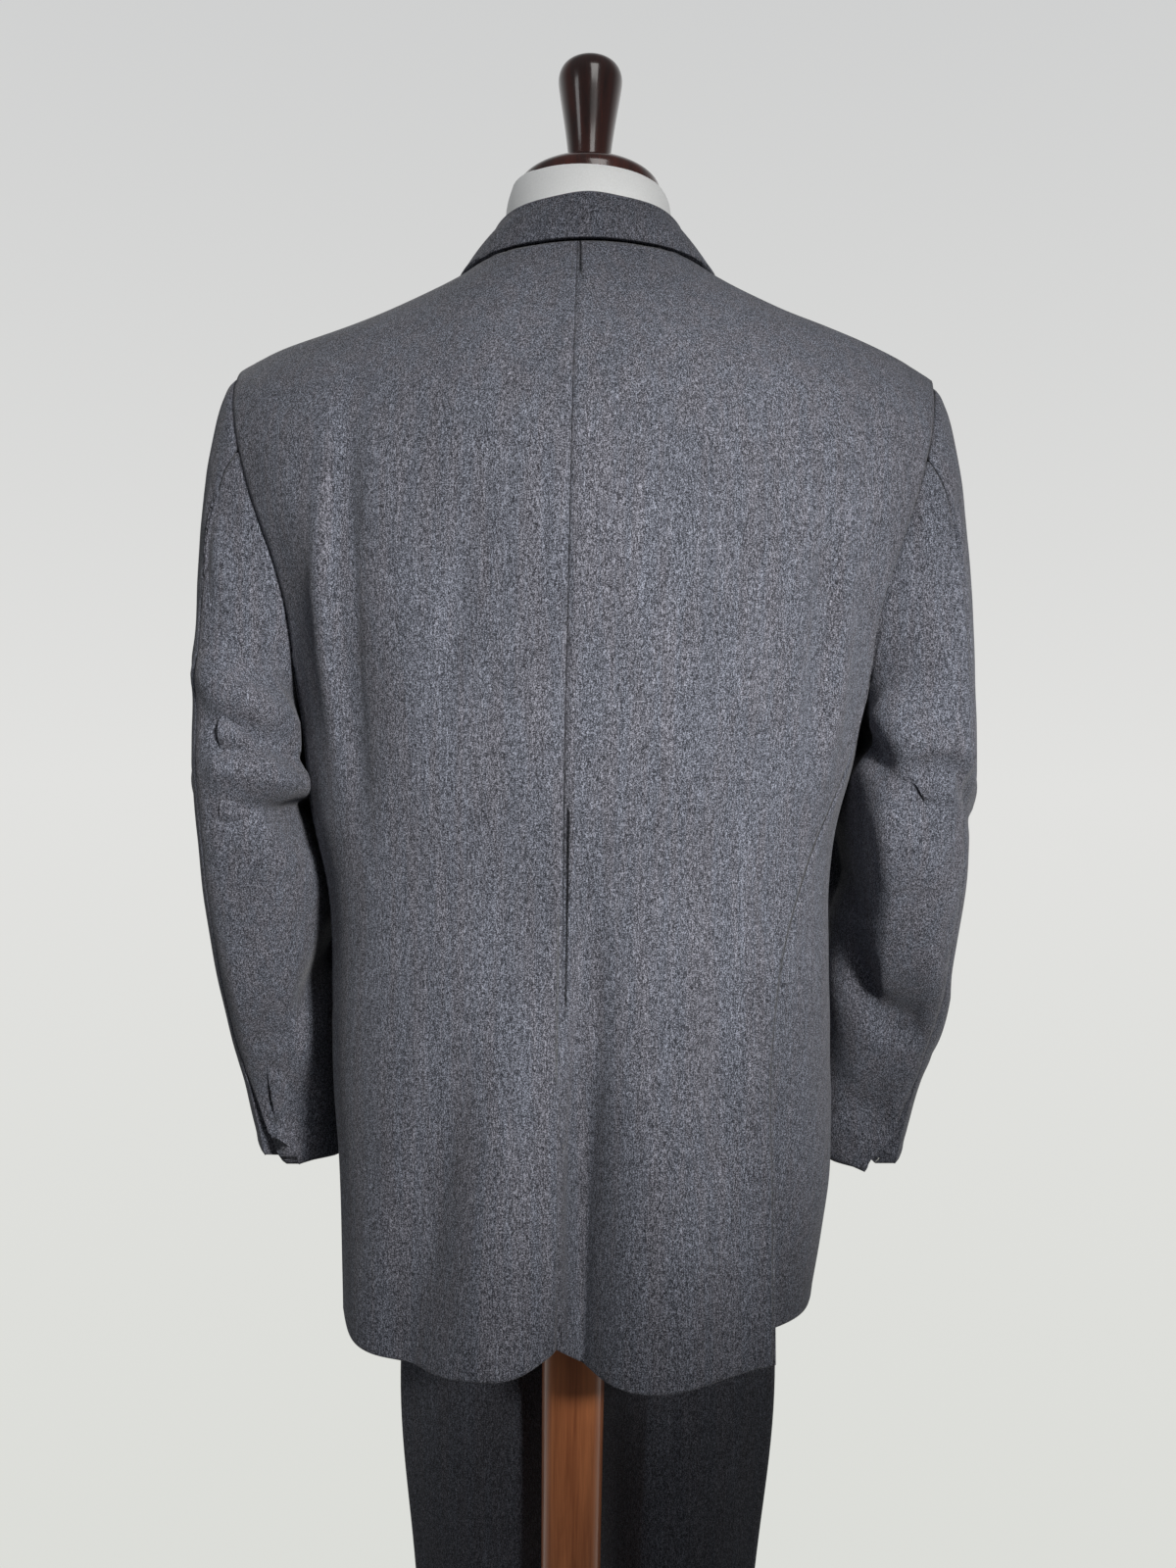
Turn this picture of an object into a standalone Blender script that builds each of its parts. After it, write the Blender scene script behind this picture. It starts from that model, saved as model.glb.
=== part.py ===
"""Double-breasted wool suit, jacket and trousers, worn by a limbless dress form on a wooden stand.

Metres, +Z up. The origin is on the floor under the pole, the suit faces -Y, the wearer's left is +X.
Cloth is a wall: each cut piece is a grid of points on the garment, thickened inwards.
"""
import math
from functools import lru_cache

import bmesh
import bpy
import numpy as np

LEFT, RIGHT = 1, -1
SIDES = {"left": LEFT, "right": RIGHT}

# Cloth and seams
WALL = 0.0020
TROUSER_WALL = 0.0016
SEAM = 0.0003

# Heights of the jacket
HEM = 0.850
BREAK = 1.120
PIT = 1.265
JUNCTION = 1.300
TIP = 1.513
NECK = 1.581
SHOULDER_LEVELS = (1.528, 1.544, 1.562, NECK)
ARM_LEVELS = (1.335, 1.370, 1.405, 1.440, 1.470, 1.495)
LOWER_ROWS = 12
LEVELS = (
    [HEM + (JUNCTION - HEM) * i / LOWER_ROWS for i in range(LOWER_ROWS + 1)]
    + list(ARM_LEVELS)
    + [TIP]
    + list(SHOULDER_LEVELS)
)
JUNCTION_ROW = LOWER_ROWS
BACK_COLUMNS = 9
SIDE_COLUMNS = 5
FRONT_SHARES = (0.0, 0.13, 0.26, 0.39, 0.51, 0.62, 0.72, 0.80, 0.87, 0.94, 1.0)

# Armhole, an ellipse in side view
ARMHOLE_MIDDLE = (PIT + TIP) / 2
ARMHOLE_HALF_HEIGHT = (TIP - PIT) / 2
ARMHOLE_BACK = 0.069
ARMHOLE_FRONT = 0.070

# Front closure
OVERLAP = 0.085
ROLL_AT_NECK = 0.068
UNDER_DEPTH = 0.0105
LAPEL_LIFT = {LEFT: 0.0045, RIGHT: 0.0050}


def table(columns, rows):
    """Named columns of a short table, as arrays."""
    return dict(zip(columns.split(), np.array(rows, float).T))


def curve(keys, values):
    """Smooth curve through the given values that never overshoots them."""
    keys, values = np.asarray(keys, float), np.asarray(values, float)
    steps = np.diff(keys)
    slopes = np.diff(values) / steps
    tangents = np.zeros(len(keys))
    tangents[0], tangents[-1] = slopes[0], slopes[-1]
    for i in range(1, len(keys) - 1):
        before, after = slopes[i - 1], slopes[i]
        if before * after > 0:
            tangents[i] = 2 * before * after / (before + after)

    def at(key):
        key = min(max(key, keys[0]), keys[-1])
        i = min(int(np.searchsorted(keys, key, side="right")) - 1, len(steps) - 1)
        t = (key - keys[i]) / steps[i]
        rise = (
            (t**3 - 2 * t**2 + t) * tangents[i] + (t**3 - t**2) * tangents[i + 1]
        ) * steps[i]
        return values[i] * (1 + 2 * t) * (1 - t) ** 2 + values[i + 1] * t**2 * (3 - 2 * t) + rise

    return at


def curves(named):
    """One smooth curve over the first column for each further column of a table."""
    first = next(iter(named))
    return {name: curve(named[first], named[name]) for name in named if name != first}


def ease(t):
    t = min(max(t, 0.0), 1.0)
    return t * t * (3 - 2 * t)


def unit(vector):
    return vector / max(np.linalg.norm(vector), 1e-12)


# Outline of the worn jacket: half width, how far it hangs to the wearer's left, depth behind and
# before the shoulder line, squareness
BODY = curves(
    table(
        "z half_width centre back front squareness",
        [
            (0.850, 0.1680, -0.0060, 0.130, 0.194, 2.50),
            (0.950, 0.1757, -0.0092, 0.124, 0.190, 2.50),
            (1.030, 0.1777, -0.0037, 0.120, 0.184, 2.50),
            (1.110, 0.1760, -0.0024, 0.117, 0.180, 2.45),
            (1.155, 0.1780, 0.0000, 0.117, 0.178, 2.40),
            (1.195, 0.1860, 0.0050, 0.119, 0.177, 2.40),
            (1.230, 0.1935, 0.0010, 0.121, 0.177, 2.40),
            (1.265, 0.1980, 0.0000, 0.123, 0.178, 2.40),
            (1.300, 0.2060, 0.0000, 0.126, 0.178, 2.40),
            (1.340, 0.2180, 0.0000, 0.129, 0.176, 2.35),
            (1.375, 0.2350, 0.0000, 0.130, 0.171, 2.30),
            (1.416, 0.2550, 0.0015, 0.129, 0.162, 2.20),
            (1.446, 0.2660, 0.0015, 0.127, 0.155, 2.00),
            (1.480, 0.2730, 0.0015, 0.120, 0.145, 1.75),
            (1.498, 0.2670, 0.0015, 0.114, 0.137, 1.60),
            (1.511, 0.2530, 0.0000, 0.108, 0.130, 1.50),
            (1.522, 0.2380, 0.0000, 0.103, 0.124, 1.50),
            (1.533, 0.2110, 0.0000, 0.097, 0.114, 1.50),
            (1.543, 0.1780, 0.0000, 0.092, 0.104, 1.55),
            (1.555, 0.1430, 0.0000, 0.086, 0.093, 1.65),
            (1.568, 0.1120, 0.0000, 0.0785, 0.081, 1.80),
            (1.581, 0.0860, 0.0000, 0.0700, 0.068, 2.00),
        ],
    )
)

# Folds: centre line in distance from the centre back (+ on the wearer's left) and height,
# half width across, and how far the cloth stands out (+) or in (-). An open fold runs out at its foot.
FOLDS = table(
    "s_top z_top s_foot z_foot width depth open",
    [
        (0.146, 1.500, 0.161, 1.340, 0.012, -0.0060, 0),
        (0.161, 1.420, 0.150, 1.170, 0.013, -0.0070, 0),
        (0.170, 1.480, 0.174, 1.230, 0.012, 0.0060, 0),
        (0.204, 1.500, 0.204, 1.430, 0.008, -0.0030, 0),
        (0.178, 1.475, 0.172, 1.370, 0.006, -0.0025, 0),
        (0.066, 1.430, 0.094, 1.220, 0.020, -0.0035, 0),
        (-0.136, 1.480, -0.136, 1.385, 0.010, -0.0035, 0),
        (-0.108, 1.400, -0.108, 1.310, 0.011, -0.0030, 0),
        (-0.165, 1.410, -0.154, 1.230, 0.012, -0.0050, 0),
        (-0.102, 1.290, -0.094, 1.140, 0.013, -0.0035, 0),
        (-0.122, 1.180, -0.130, 1.100, 0.012, -0.0030, 0),
        (-0.007, 1.200, 0.004, 0.850, 0.016, -0.0320, 1),
        (0.045, 1.120, 0.058, 0.850, 0.030, 0.0070, 1),
        (-0.050, 1.120, -0.048, 0.850, 0.030, 0.0080, 1),
        (0.072, 1.080, 0.120, 0.850, 0.018, -0.0160, 1),
        (-0.092, 1.130, -0.088, 0.930, 0.014, -0.0030, 0),
        (0.145, 1.020, 0.160, 0.850, 0.022, 0.0040, 1),
        (-0.104, 1.060, -0.110, 0.850, 0.022, -0.0040, 1),
        (0.330, 1.010, 0.330, 0.850, 0.030, -0.0040, 1),
        (-0.330, 1.030, -0.330, 0.850, 0.030, -0.0040, 1),
    ],
)

# The wearer's right shoulder hangs higher: slope towards the wearer's left, gone at the tips
SHOULDER_FALL = 0.014

# Hem line: rise above the hem height along the cloth
HEM_RISE = curve(
    [-0.60, -0.45, -0.20, -0.10, -0.05, -0.004, 0.014, 0.030, 0.08, 0.112, 0.16, 0.20, 0.45, 0.60],
    [-0.010, -0.006, 0.001, 0.001, -0.001, 0.000, 0.016]
    + [0.006, 0.002, -0.003, 0.001, 0.007, -0.006, -0.010],
)
HEM_FADE = 0.15

# Centre back seam, its x; the seams below the armhole as a shift along the cloth from its edge
CENTRE_SEAM = curve(
    [HEM, 1.10, 1.22, 1.34, 1.46, NECK],
    [0.0104, 0.0094, 0.0100, 0.0088, 0.0078, 0.0069],
)
BACK_SEAM = {
    LEFT: curve([HEM, 0.95, 1.10, 1.20, JUNCTION], [-0.020, -0.020, -0.022, -0.012, 0.0]),
    RIGHT: curve(
        [HEM, 0.95, 1.03, 1.10, 1.14, 1.17, 1.20, 1.25, JUNCTION],
        [-0.093, -0.101, -0.099, -0.090, -0.076, -0.059, -0.038, -0.013, 0.0],
    ),
}
FRONT_SEAM = curve([HEM, 1.00, JUNCTION], [0.012, 0.004, 0.0])

# Side vents
VENT_TOP = 1.060
VENT_GAP = {LEFT: 0.006, RIGHT: 0.036}
VENT_LAP = 0.022


def shoulder_fall(x, z):
    """How far the cloth sinks at this place because the shoulders slope to one side."""
    return SHOULDER_FALL * x * ease((z - 1.40) / 0.12) * (1 - ease((abs(x) - 0.17) / 0.07))


@lru_cache(maxsize=None)
def ring(z):
    """Half outline of the jacket from the centre back round the wearer's left to the centre front."""
    a, back, front, n = (BODY[c](z) for c in ("half_width", "back", "front", "squareness"))
    phi = np.linspace(0, math.pi, 481)
    x = a * np.abs(np.sin(phi)) ** (2 / n)
    depth = np.where(np.cos(phi) > 0, back, front)
    y = depth * np.sign(np.cos(phi)) * np.abs(np.cos(phi)) ** (2 / n)
    x[0] = x[-1] = 0.0
    along = np.concatenate([[0.0], np.cumsum(np.hypot(np.diff(x), np.diff(y)))])
    return x, y, along


def half_length(z):
    return ring(z)[2][-1]


def fold_depth(s, z):
    """How far the folds push the cloth out at this place."""
    total = 0.0
    for i in range(len(FOLDS["depth"])):
        top, foot = FOLDS["z_top"][i], FOLDS["z_foot"][i]
        t = (top - z) / (top - foot)
        if t <= 0 or (t >= 1 and not FOLDS["open"][i]):
            continue
        strength = ease(t) if FOLDS["open"][i] else math.sin(math.pi * t) ** 1.2
        centre = FOLDS["s_top"][i] + (FOLDS["s_foot"][i] - FOLDS["s_top"][i]) * min(t, 1.0)
        across = (s - centre) / (FOLDS["width"][i] * (0.75 + 0.25 * min(t, 1.0)))
        if abs(across) < 3:
            total += FOLDS["depth"][i] * strength * math.exp(-across * across)
    return total


def cloth_point(side, h, z):
    """Point of the jacket's outer face at distance h along the cloth from the centre back."""
    x, y, along = ring(z)
    whole = along[-1]
    past = h > whole
    mirror = -1 if past != (h < 0) else 1
    near = abs(2 * whole - h) if past else abs(h)
    px, py = np.interp(near, along, x), np.interp(near, along, y)
    step = 0.001
    low, high = max(near - step, 0), min(near + step, whole)
    tangent = unit(
        np.array([np.interp(high, along, x) - np.interp(low, along, x),
                  np.interp(high, along, y) - np.interp(low, along, y)])
    )
    out = fold_depth(side * h, z)
    x = BODY["centre"](z) + side * mirror * (px - tangent[1] * out)
    return np.array([x, py + tangent[0] * out, z - shoulder_fall(x, z)])


def cloth_at(side, h, z):
    """Point and outward normal of the jacket's outer face."""
    step = 0.0015
    point = cloth_point(side, h, z)
    along = cloth_point(side, h + step, z) - cloth_point(side, h - step, z)
    up = cloth_point(side, h, min(z + step, NECK)) - cloth_point(side, h, z - step)
    return point, unit(np.cross(up, along)) * side


def lifted(side, h, z, out):
    point, normal = cloth_at(side, h, z)
    return point + normal * out


def hem_z(s, level):
    """Height of a grid row at this place: rows near the hem follow the hem line."""
    return level + HEM_RISE(s) * (1 - ease((level - HEM) / HEM_FADE))


def h_at_y(z, y):
    """Distance along the cloth where the side of the jacket is at this y."""
    _, ys, along = ring(z)
    return float(np.interp(-y, -ys, along))


def h_at_front_x(z, x):
    """Distance along the cloth where the front is at this x; a negative x is past the centre front."""
    xs, ys, along = ring(z)
    front = ys <= 0
    found = float(np.interp(-abs(x), -xs[front], along[front]))
    return found if x >= 0 else 2 * along[-1] - found


def armhole_y(z, reach):
    t = (z - ARMHOLE_MIDDLE) / ARMHOLE_HALF_HEIGHT
    return reach * math.sqrt(max(1 - t * t, 0.0))


def back_edge(side, z):
    """Where the back ends at this height: side seam, armhole or shoulder seam."""
    if z <= JUNCTION:
        return h_at_y(JUNCTION, armhole_y(JUNCTION, ARMHOLE_BACK)) + BACK_SEAM[side](z)
    if z < TIP:
        return h_at_y(z, armhole_y(z, ARMHOLE_BACK))
    return h_at_y(z, 0.0)


def front_start(side, z):
    """Where the front starts at this height: side seam, armhole or shoulder seam."""
    if z <= JUNCTION:
        return h_at_y(JUNCTION, -armhole_y(JUNCTION, ARMHOLE_FRONT)) + FRONT_SEAM(z)
    if z < TIP:
        return h_at_y(z, -armhole_y(z, ARMHOLE_FRONT))
    return h_at_y(z, 0.0)


def roll_x(z):
    """x of the wearer's left front edge: straight down from the break, the roll line above it."""
    return -OVERLAP + max(z - BREAK, 0.0) / (NECK - BREAK) * (OVERLAP + ROLL_AT_NECK)


def under_lap(side, x, z):
    """How far the wearer's right front lies in where the left front covers it."""
    if side == LEFT:
        return 0.0
    covered = x - (roll_x(z) - 0.045)
    return -UNDER_DEPTH * ease(covered / 0.030)


def mesh_object(name, vertices, faces, material, smooth_angle=50):
    """A closed mesh whose faces point out, as one object."""
    vertices = np.asarray(vertices, float)
    mesh = bpy.data.meshes.new(name)
    mesh.from_pydata([tuple(v) for v in vertices], [], faces)
    work = bmesh.new()
    work.from_mesh(mesh)
    bmesh.ops.recalc_face_normals(work, faces=work.faces)
    if work.calc_volume(signed=True) < 0:
        bmesh.ops.reverse_faces(work, faces=work.faces)
    work.to_mesh(mesh)
    work.free()
    mesh.shade_smooth()
    mesh.set_sharp_from_angle(angle=math.radians(smooth_angle))
    mesh.materials.append(material)
    thing = bpy.data.objects.new(name, mesh)
    bpy.context.scene.collection.objects.link(thing)
    return thing


def wall(name, points, normals, thickness, material, closed=False):
    """A cut piece of cloth: a grid of outer points, thickened against its normals."""
    points, normals = np.asarray(points), np.asarray(normals)
    rows, columns = points.shape[:2]
    vertices = np.concatenate([points.reshape(-1, 3), (points - normals * thickness).reshape(-1, 3)])
    inner = rows * columns
    faces = []
    for i in range(rows - 1):
        for j in range(columns if closed else columns - 1):
            a, b = i * columns + j, i * columns + (j + 1) % columns
            c, d = b + columns, a + columns
            faces += [(a, b, c, d), (inner + d, inner + c, inner + b, inner + a)]
    if closed:
        for j in range(columns):
            a, b = j, (j + 1) % columns
            c, d = a + columns * (rows - 1), b + columns * (rows - 1)
            faces += [(b, a, inner + a, inner + b), (c, d, inner + d, inner + c)]
        return mesh_object(name, vertices, faces, material)
    border = (
        [(0, j) for j in range(columns)]
        + [(i, columns - 1) for i in range(1, rows)]
        + [(rows - 1, j) for j in range(columns - 2, -1, -1)]
        + [(i, 0) for i in range(rows - 2, 0, -1)]
    )
    edge = [i * columns + j for i, j in border]
    for a, b in zip(edge, edge[1:] + edge[:1]):
        faces.append((b, a, inner + a, inner + b))
    return mesh_object(name, vertices, faces, material)


def grid_normals(points, closed=False, outward=None):
    """Normals of a grid by differences between neighbours, turned away from the given centres."""
    points = np.asarray(points)
    up = np.gradient(points, axis=0)
    if closed:
        after = np.roll(points, -1, axis=1) - points
        before = points - np.roll(points, 1, axis=1)
        along = after / np.linalg.norm(after, axis=2, keepdims=True)
        along = along + before / np.linalg.norm(before, axis=2, keepdims=True)
    else:
        along = np.gradient(points, axis=1)
    normals = np.cross(up, along)
    normals /= np.maximum(np.linalg.norm(normals, axis=2, keepdims=True), 1e-12)
    if outward is not None and (normals * outward).sum() < 0:
        normals = -normals
    return normals


def eased_seams(points, widened=0, extra=0.0):
    """Pulls the side edges of a grid in by half a seam, and more in the last rows where cloth bends."""
    points = points.copy()
    pull = np.full((len(points), 1), SEAM / 2)
    if widened:
        pull[-widened:] += extra
    first, last = points[:, 1] - points[:, 0], points[:, -2] - points[:, -1]
    points[:, 0] += pull * np.array([unit(v) for v in first])
    points[:, -1] += pull * np.array([unit(v) for v in last])
    return points


def material(name, colour, roughness, metallic=0.0):
    made = bpy.data.materials.new(name)
    made.use_nodes = True
    shader = made.node_tree.nodes["Principled BSDF"]
    shader.inputs["Base Color"].default_value = (*colour, 1.0)
    shader.inputs["Roughness"].default_value = roughness
    shader.inputs["Metallic"].default_value = metallic
    return made


def back_panel(label, side, wool):
    """One half of the back, from the centre seam to the side seam, armhole and shoulder seam."""
    points, normals = [], []
    for level in LEVELS:
        centre = side * (CENTRE_SEAM(level) - BODY["centre"](level)) + SEAM / 2
        end = back_edge(side, level) - SEAM / 2
        row = []
        for j in range(BACK_COLUMNS + 1):
            h = centre + (end - centre) * j / BACK_COLUMNS
            row.append(cloth_at(side, h, hem_z(side * h, level)))
        points.append([p for p, _ in row])
        normals.append([n for _, n in row])
    return wall("back_" + label, points, normals, WALL, wool)


def side_top(share):
    """The underarm part of the armhole, from the back junction to the front one: y and z."""
    start = math.asin(armhole_y(JUNCTION, 1.0))
    angle = start * (1 - 2 * share)
    reach = ARMHOLE_BACK if angle > 0 else ARMHOLE_FRONT
    return reach * math.sin(angle), ARMHOLE_MIDDLE - ARMHOLE_HALF_HEIGHT * math.cos(angle)


def side_place(side, row, share):
    """Distance along the cloth and height of a point of the side panel."""
    level = LEVELS[row]
    y, top = side_top(share)
    climb = row / JUNCTION_ROW
    z = HEM + (top - HEM) * climb
    straight = back_edge(side, level) + (front_start(side, level) - back_edge(side, level)) * share
    across = back_edge(side, JUNCTION) + (front_start(side, JUNCTION) - back_edge(side, JUNCTION)) * share
    return straight + (h_at_y(top, y) - across) * climb**4, z


def side_panel(label, side, wool):
    """The piece under the arm. Below the vent it runs on under the back."""
    points, normals = [], []
    for row in range(JUNCTION_ROW + 1):
        vent = ease((VENT_TOP - LEVELS[row]) / (VENT_TOP - HEM))
        points.append([])
        normals.append([])
        for j in range(SIDE_COLUMNS + 1):
            share = j / SIDE_COLUMNS
            h, z = side_place(side, row, share)
            lap = VENT_LAP * ease((VENT_TOP - 0.025 - LEVELS[row]) / 0.030) * max(1 - share * 4, 0.0)
            h += SEAM / 2 * (1 - 2 * share) - lap
            inward = -VENT_GAP[side] * vent * (1 - ease(share / 0.62))
            clear = -0.0034 * ease((VENT_TOP - LEVELS[row]) / 0.020) * (1 - ease((share - 0.2) / 0.3))
            point, normal = cloth_at(side, h, hem_z(side * h, z))
            points[-1].append(point + normal * (inward + clear))
            normals[-1].append(normal)
    return wall("side_" + label, points, normals, WALL, wool)


def front_panel(label, side, wool):
    """One front, from the side seam to its edge and roll line. The wearer's left one lies on top."""
    points, normals = [], []
    for level in LEVELS:
        start = front_start(side, level) + SEAM / 2
        end = h_at_front_x(level, roll_x(level) + 0.012 * ease((level - 1.525) / 0.025))
        points.append([])
        normals.append([])
        for share in FRONT_SHARES:
            h = start + (end - start) * share
            point, normal = cloth_at(side, h, hem_z(side * h, level))
            points[-1].append(point + normal * under_lap(side, point[0], level))
            normals[-1].append(normal)
    return wall("front_" + label, points, normals, WALL, wool)


# Sleeves: centre, half width and half depth of the arm at each height, and how deep it wrinkles
ARM = {
    LEFT: table(
        "z centre_x centre_y half_width half_depth",
        [
            (0.940, 0.2195, -0.090, 0.0300, 0.0610),
            (0.985, 0.2245, -0.078, 0.0320, 0.0620),
            (1.030, 0.2295, -0.060, 0.0330, 0.0680),
            (1.090, 0.2330, -0.035, 0.0345, 0.0740),
            (1.150, 0.2355, -0.014, 0.0345, 0.0790),
            (1.225, 0.2375, 0.000, 0.0345, 0.0830),
        ],
    ),
    RIGHT: table(
        "z centre_x centre_y half_width half_depth",
        [
            (0.940, 0.2250, -0.090, 0.0300, 0.0610),
            (0.985, 0.2295, -0.078, 0.0320, 0.0620),
            (1.030, 0.2355, -0.060, 0.0340, 0.0680),
            (1.090, 0.2385, -0.035, 0.0355, 0.0740),
            (1.150, 0.2405, -0.014, 0.0355, 0.0790),
            (1.225, 0.2415, 0.000, 0.0350, 0.0830),
        ],
    ),
}
CUFF = 0.940
CUFF_TILT = 0.06
BICEPS = 1.225
ARM_ROWS = 13
HEAD_ROWS = 7
HIND_SEAM = 3
FORE_SEAM = 13
SLEEVE_VENT_TOP = 1.020

# Sleeve wrinkles: height at the outer arm, slope across, reach along the arm, angle and its spread
# (0 outer, 90 back, 180 inner), and depth
WRINKLES = {
    LEFT: table(
        "z slope reach angle spread depth",
        [
            (1.175, 0.010, 0.030, 150, 45, -0.0140),
            (1.230, 0.005, 0.012, 140, 50, 0.0040),
            (1.100, -0.030, 0.016, 150, 40, -0.0070),
            (1.062, 0.030, 0.018, 135, 45, -0.0060),
            (1.270, 0.015, 0.014, 110, 40, -0.0030),
            (1.010, 0.020, 0.016, 130, 50, 0.0035),
        ],
    ),
    RIGHT: table(
        "z slope reach angle spread depth",
        [
            (1.220, 0.026, 0.012, 95, 55, -0.0110),
            (1.256, 0.026, 0.015, 120, 50, 0.0045),
            (1.165, 0.120, 0.030, 145, 30, -0.0070),
            (1.150, 0.100, 0.025, 105, 30, 0.0040),
            (1.075, 0.090, 0.025, 125, 32, -0.0065),
            (1.040, -0.020, 0.016, 110, 60, -0.0040),
        ],
    ),
}


def armhole_loop(side):
    """Points and normals round the armhole on the body pieces: tip, back, underarm, front, tip."""
    places = [(back_edge(side, TIP), TIP)]
    places += [(back_edge(side, z), z) for z in reversed(ARM_LEVELS)]
    for j in range(SIDE_COLUMNS + 1):
        places.append(side_place(side, JUNCTION_ROW, j / SIDE_COLUMNS))
    places += [(front_start(side, z), z) for z in ARM_LEVELS]
    found = [cloth_at(side, h, z) for h, z in places]
    return np.array([p for p, _ in found]), np.array([n for _, n in found])


def turns_round(loop):
    """Angle of each armhole point round the arm: 0 outer, 90 back, 180 inner, 270 front."""
    steps = np.linalg.norm(np.roll(loop, -1, axis=0) - loop, axis=1)
    return 2 * math.pi * np.concatenate([[0.0], np.cumsum(steps)[:-1]]) / steps.sum()


def arm_ring(side, z, angles):
    """Closed section of the sleeve; its cuff end drops towards the back."""
    arm = curves(ARM[side])
    drop = CUFF_TILT * (1 - ease((z - CUFF) / 0.10))
    ring_points = []
    for angle in angles:
        wide, deep = math.cos(angle), math.sin(angle)
        out = 0.0
        for k in range(len(WRINKLES[side]["z"])):
            w = {name: column[k] for name, column in WRINKLES[side].items()}
            turn = math.degrees(angle) - w["angle"]
            across = (z - w["z"] - w["slope"] * turn / 60) / w["reach"]
            out += w["depth"] * math.exp(-across * across - (turn / w["spread"]) ** 2)
        x = arm["centre_x"](z) + (arm["half_width"](z) + out) * wide
        y = arm["centre_y"](z) + (arm["half_depth"](z) + out) * deep
        tilt = drop * (arm["centre_y"](z) - y)
        ring_points.append((side * x, y, z + tilt))
    return np.array(ring_points)


def sleeve_grid(side):
    """Outer points and normals of the whole sleeve, cuff to armhole, closed round."""
    loop, loop_normals = armhole_loop(side)
    angles = turns_round(loop)
    heights = [CUFF + (BICEPS - CUFF) * i / ARM_ROWS for i in range(ARM_ROWS + 1)]
    rows = [arm_ring(side, z, angles) for z in heights]
    start = rows[-1]
    inwards = np.array([[0.0, -y, ARMHOLE_MIDDLE - z] for _, y, z in loop])
    inwards /= np.linalg.norm(inwards, axis=1, keepdims=True)
    end = loop + np.array([side * 0.0004, 0.0, 0.0]) + inwards * 2 * SEAM
    for i in range(1, HEAD_ROWS + 1):
        t = i / HEAD_ROWS
        row = []
        for k, angle in enumerate(angles):
            span = np.linalg.norm(end[k] - start[k])
            outer = (1 + math.cos(angle)) / 2
            lean = math.radians(62 - 34 * outer)
            leave = np.array([0.0, 0.0, 1.0]) * span * (0.9 + 0.2 * outer)
            enter = np.array([-side * math.cos(lean), 0.0, math.sin(lean)]) * span * (0.75 - 0.45 * outer)
            row.append(
                start[k] * (1 + 2 * t) * (1 - t) ** 2
                + end[k] * t * t * (3 - 2 * t)
                + leave * (t**3 - 2 * t**2 + t)
                + enter * (t**3 - t**2)
            )
        rows.append(np.array(row))
    points = np.array(rows)
    centres = points.mean(axis=1, keepdims=True)
    normals = grid_normals(points, closed=True, outward=points - centres)
    normals[-1] = loop_normals
    normals[-2] = np.array([unit(v) for v in normals[-2] * 0.6 + loop_normals * 0.4])
    return points, normals


def sleeve_pieces(label, side, wool):
    """Top sleeve over the outside of the arm and under sleeve inside it, open in a vent at the cuff."""
    points, normals = sleeve_grid(side)
    count = points.shape[1]
    top = [k % count for k in range(FORE_SEAM - count, HIND_SEAM + 1)]
    under = list(range(HIND_SEAM, FORE_SEAM + 1))
    top_points = eased_seams(points[:, top], 4, 0.0008)
    under_points = eased_seams(points[:, under], 4, 0.0008)
    for i in range(len(points)):
        z = CUFF + (BICEPS - CUFF) * i / ARM_ROWS
        opened = ease((SLEEVE_VENT_TOP - z) / (SLEEVE_VENT_TOP - CUFF))
        corner = ease((0.955 - z) / 0.015)
        for column, share, drop in ((0, 1.0, -0.003), (1, 0.45, 0.003)):
            across = unit(under_points[i, column + 1] - under_points[i, column])
            under_points[i, column] += across * 0.018 * opened * share
            under_points[i, column] += normals[i, under[column]] * 0.003 * opened * share
            under_points[i, column, 2] -= drop * corner
    wall("sleeve_top_" + label, top_points, normals[:, top], WALL, wool)
    wall("sleeve_under_" + label, under_points, normals[:, under], WALL, wool)


# Collar from the centre back to the gorge on the wearer's left: fold line, neck seam inside it, and
# the outer edge, whose direction from the neck and height are given; it lies on the jacket
COLLAR = curves(
    table(
        "c fold_x fold_y fold_z seam_x seam_y seam_z edge_x edge_y edge_z",
        [
            (0.0, 0.0000, 0.0670, 1.6155, 0.0000, 0.0635, 1.5830, 0.000, 0.080, 1.5800),
            (1.0, 0.0475, 0.0455, 1.6145, 0.0455, 0.0430, 1.5835, 0.066, 0.056, 1.5790),
            (2.0, 0.0660, 0.0030, 1.6140, 0.0645, 0.0030, 1.5835, 0.090, 0.003, 1.5770),
            (3.0, 0.0640, -0.0420, 1.5920, 0.0600, -0.0380, 1.5680, 0.104, -0.050, 1.5620),
            (4.0, 0.0580, -0.0800, 1.5620, 0.0550, -0.0720, 1.5480, 0.118, -0.078, 1.5330),
        ],
    )
)
COLLAR_STEPS = 11


def h_toward(z, x, y):
    """Distance along the cloth where the jacket lies in this direction from its axis."""
    xs, ys, along = ring(z)
    return float(np.interp(math.atan2(x, y), np.arctan2(xs, ys), along))


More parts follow.
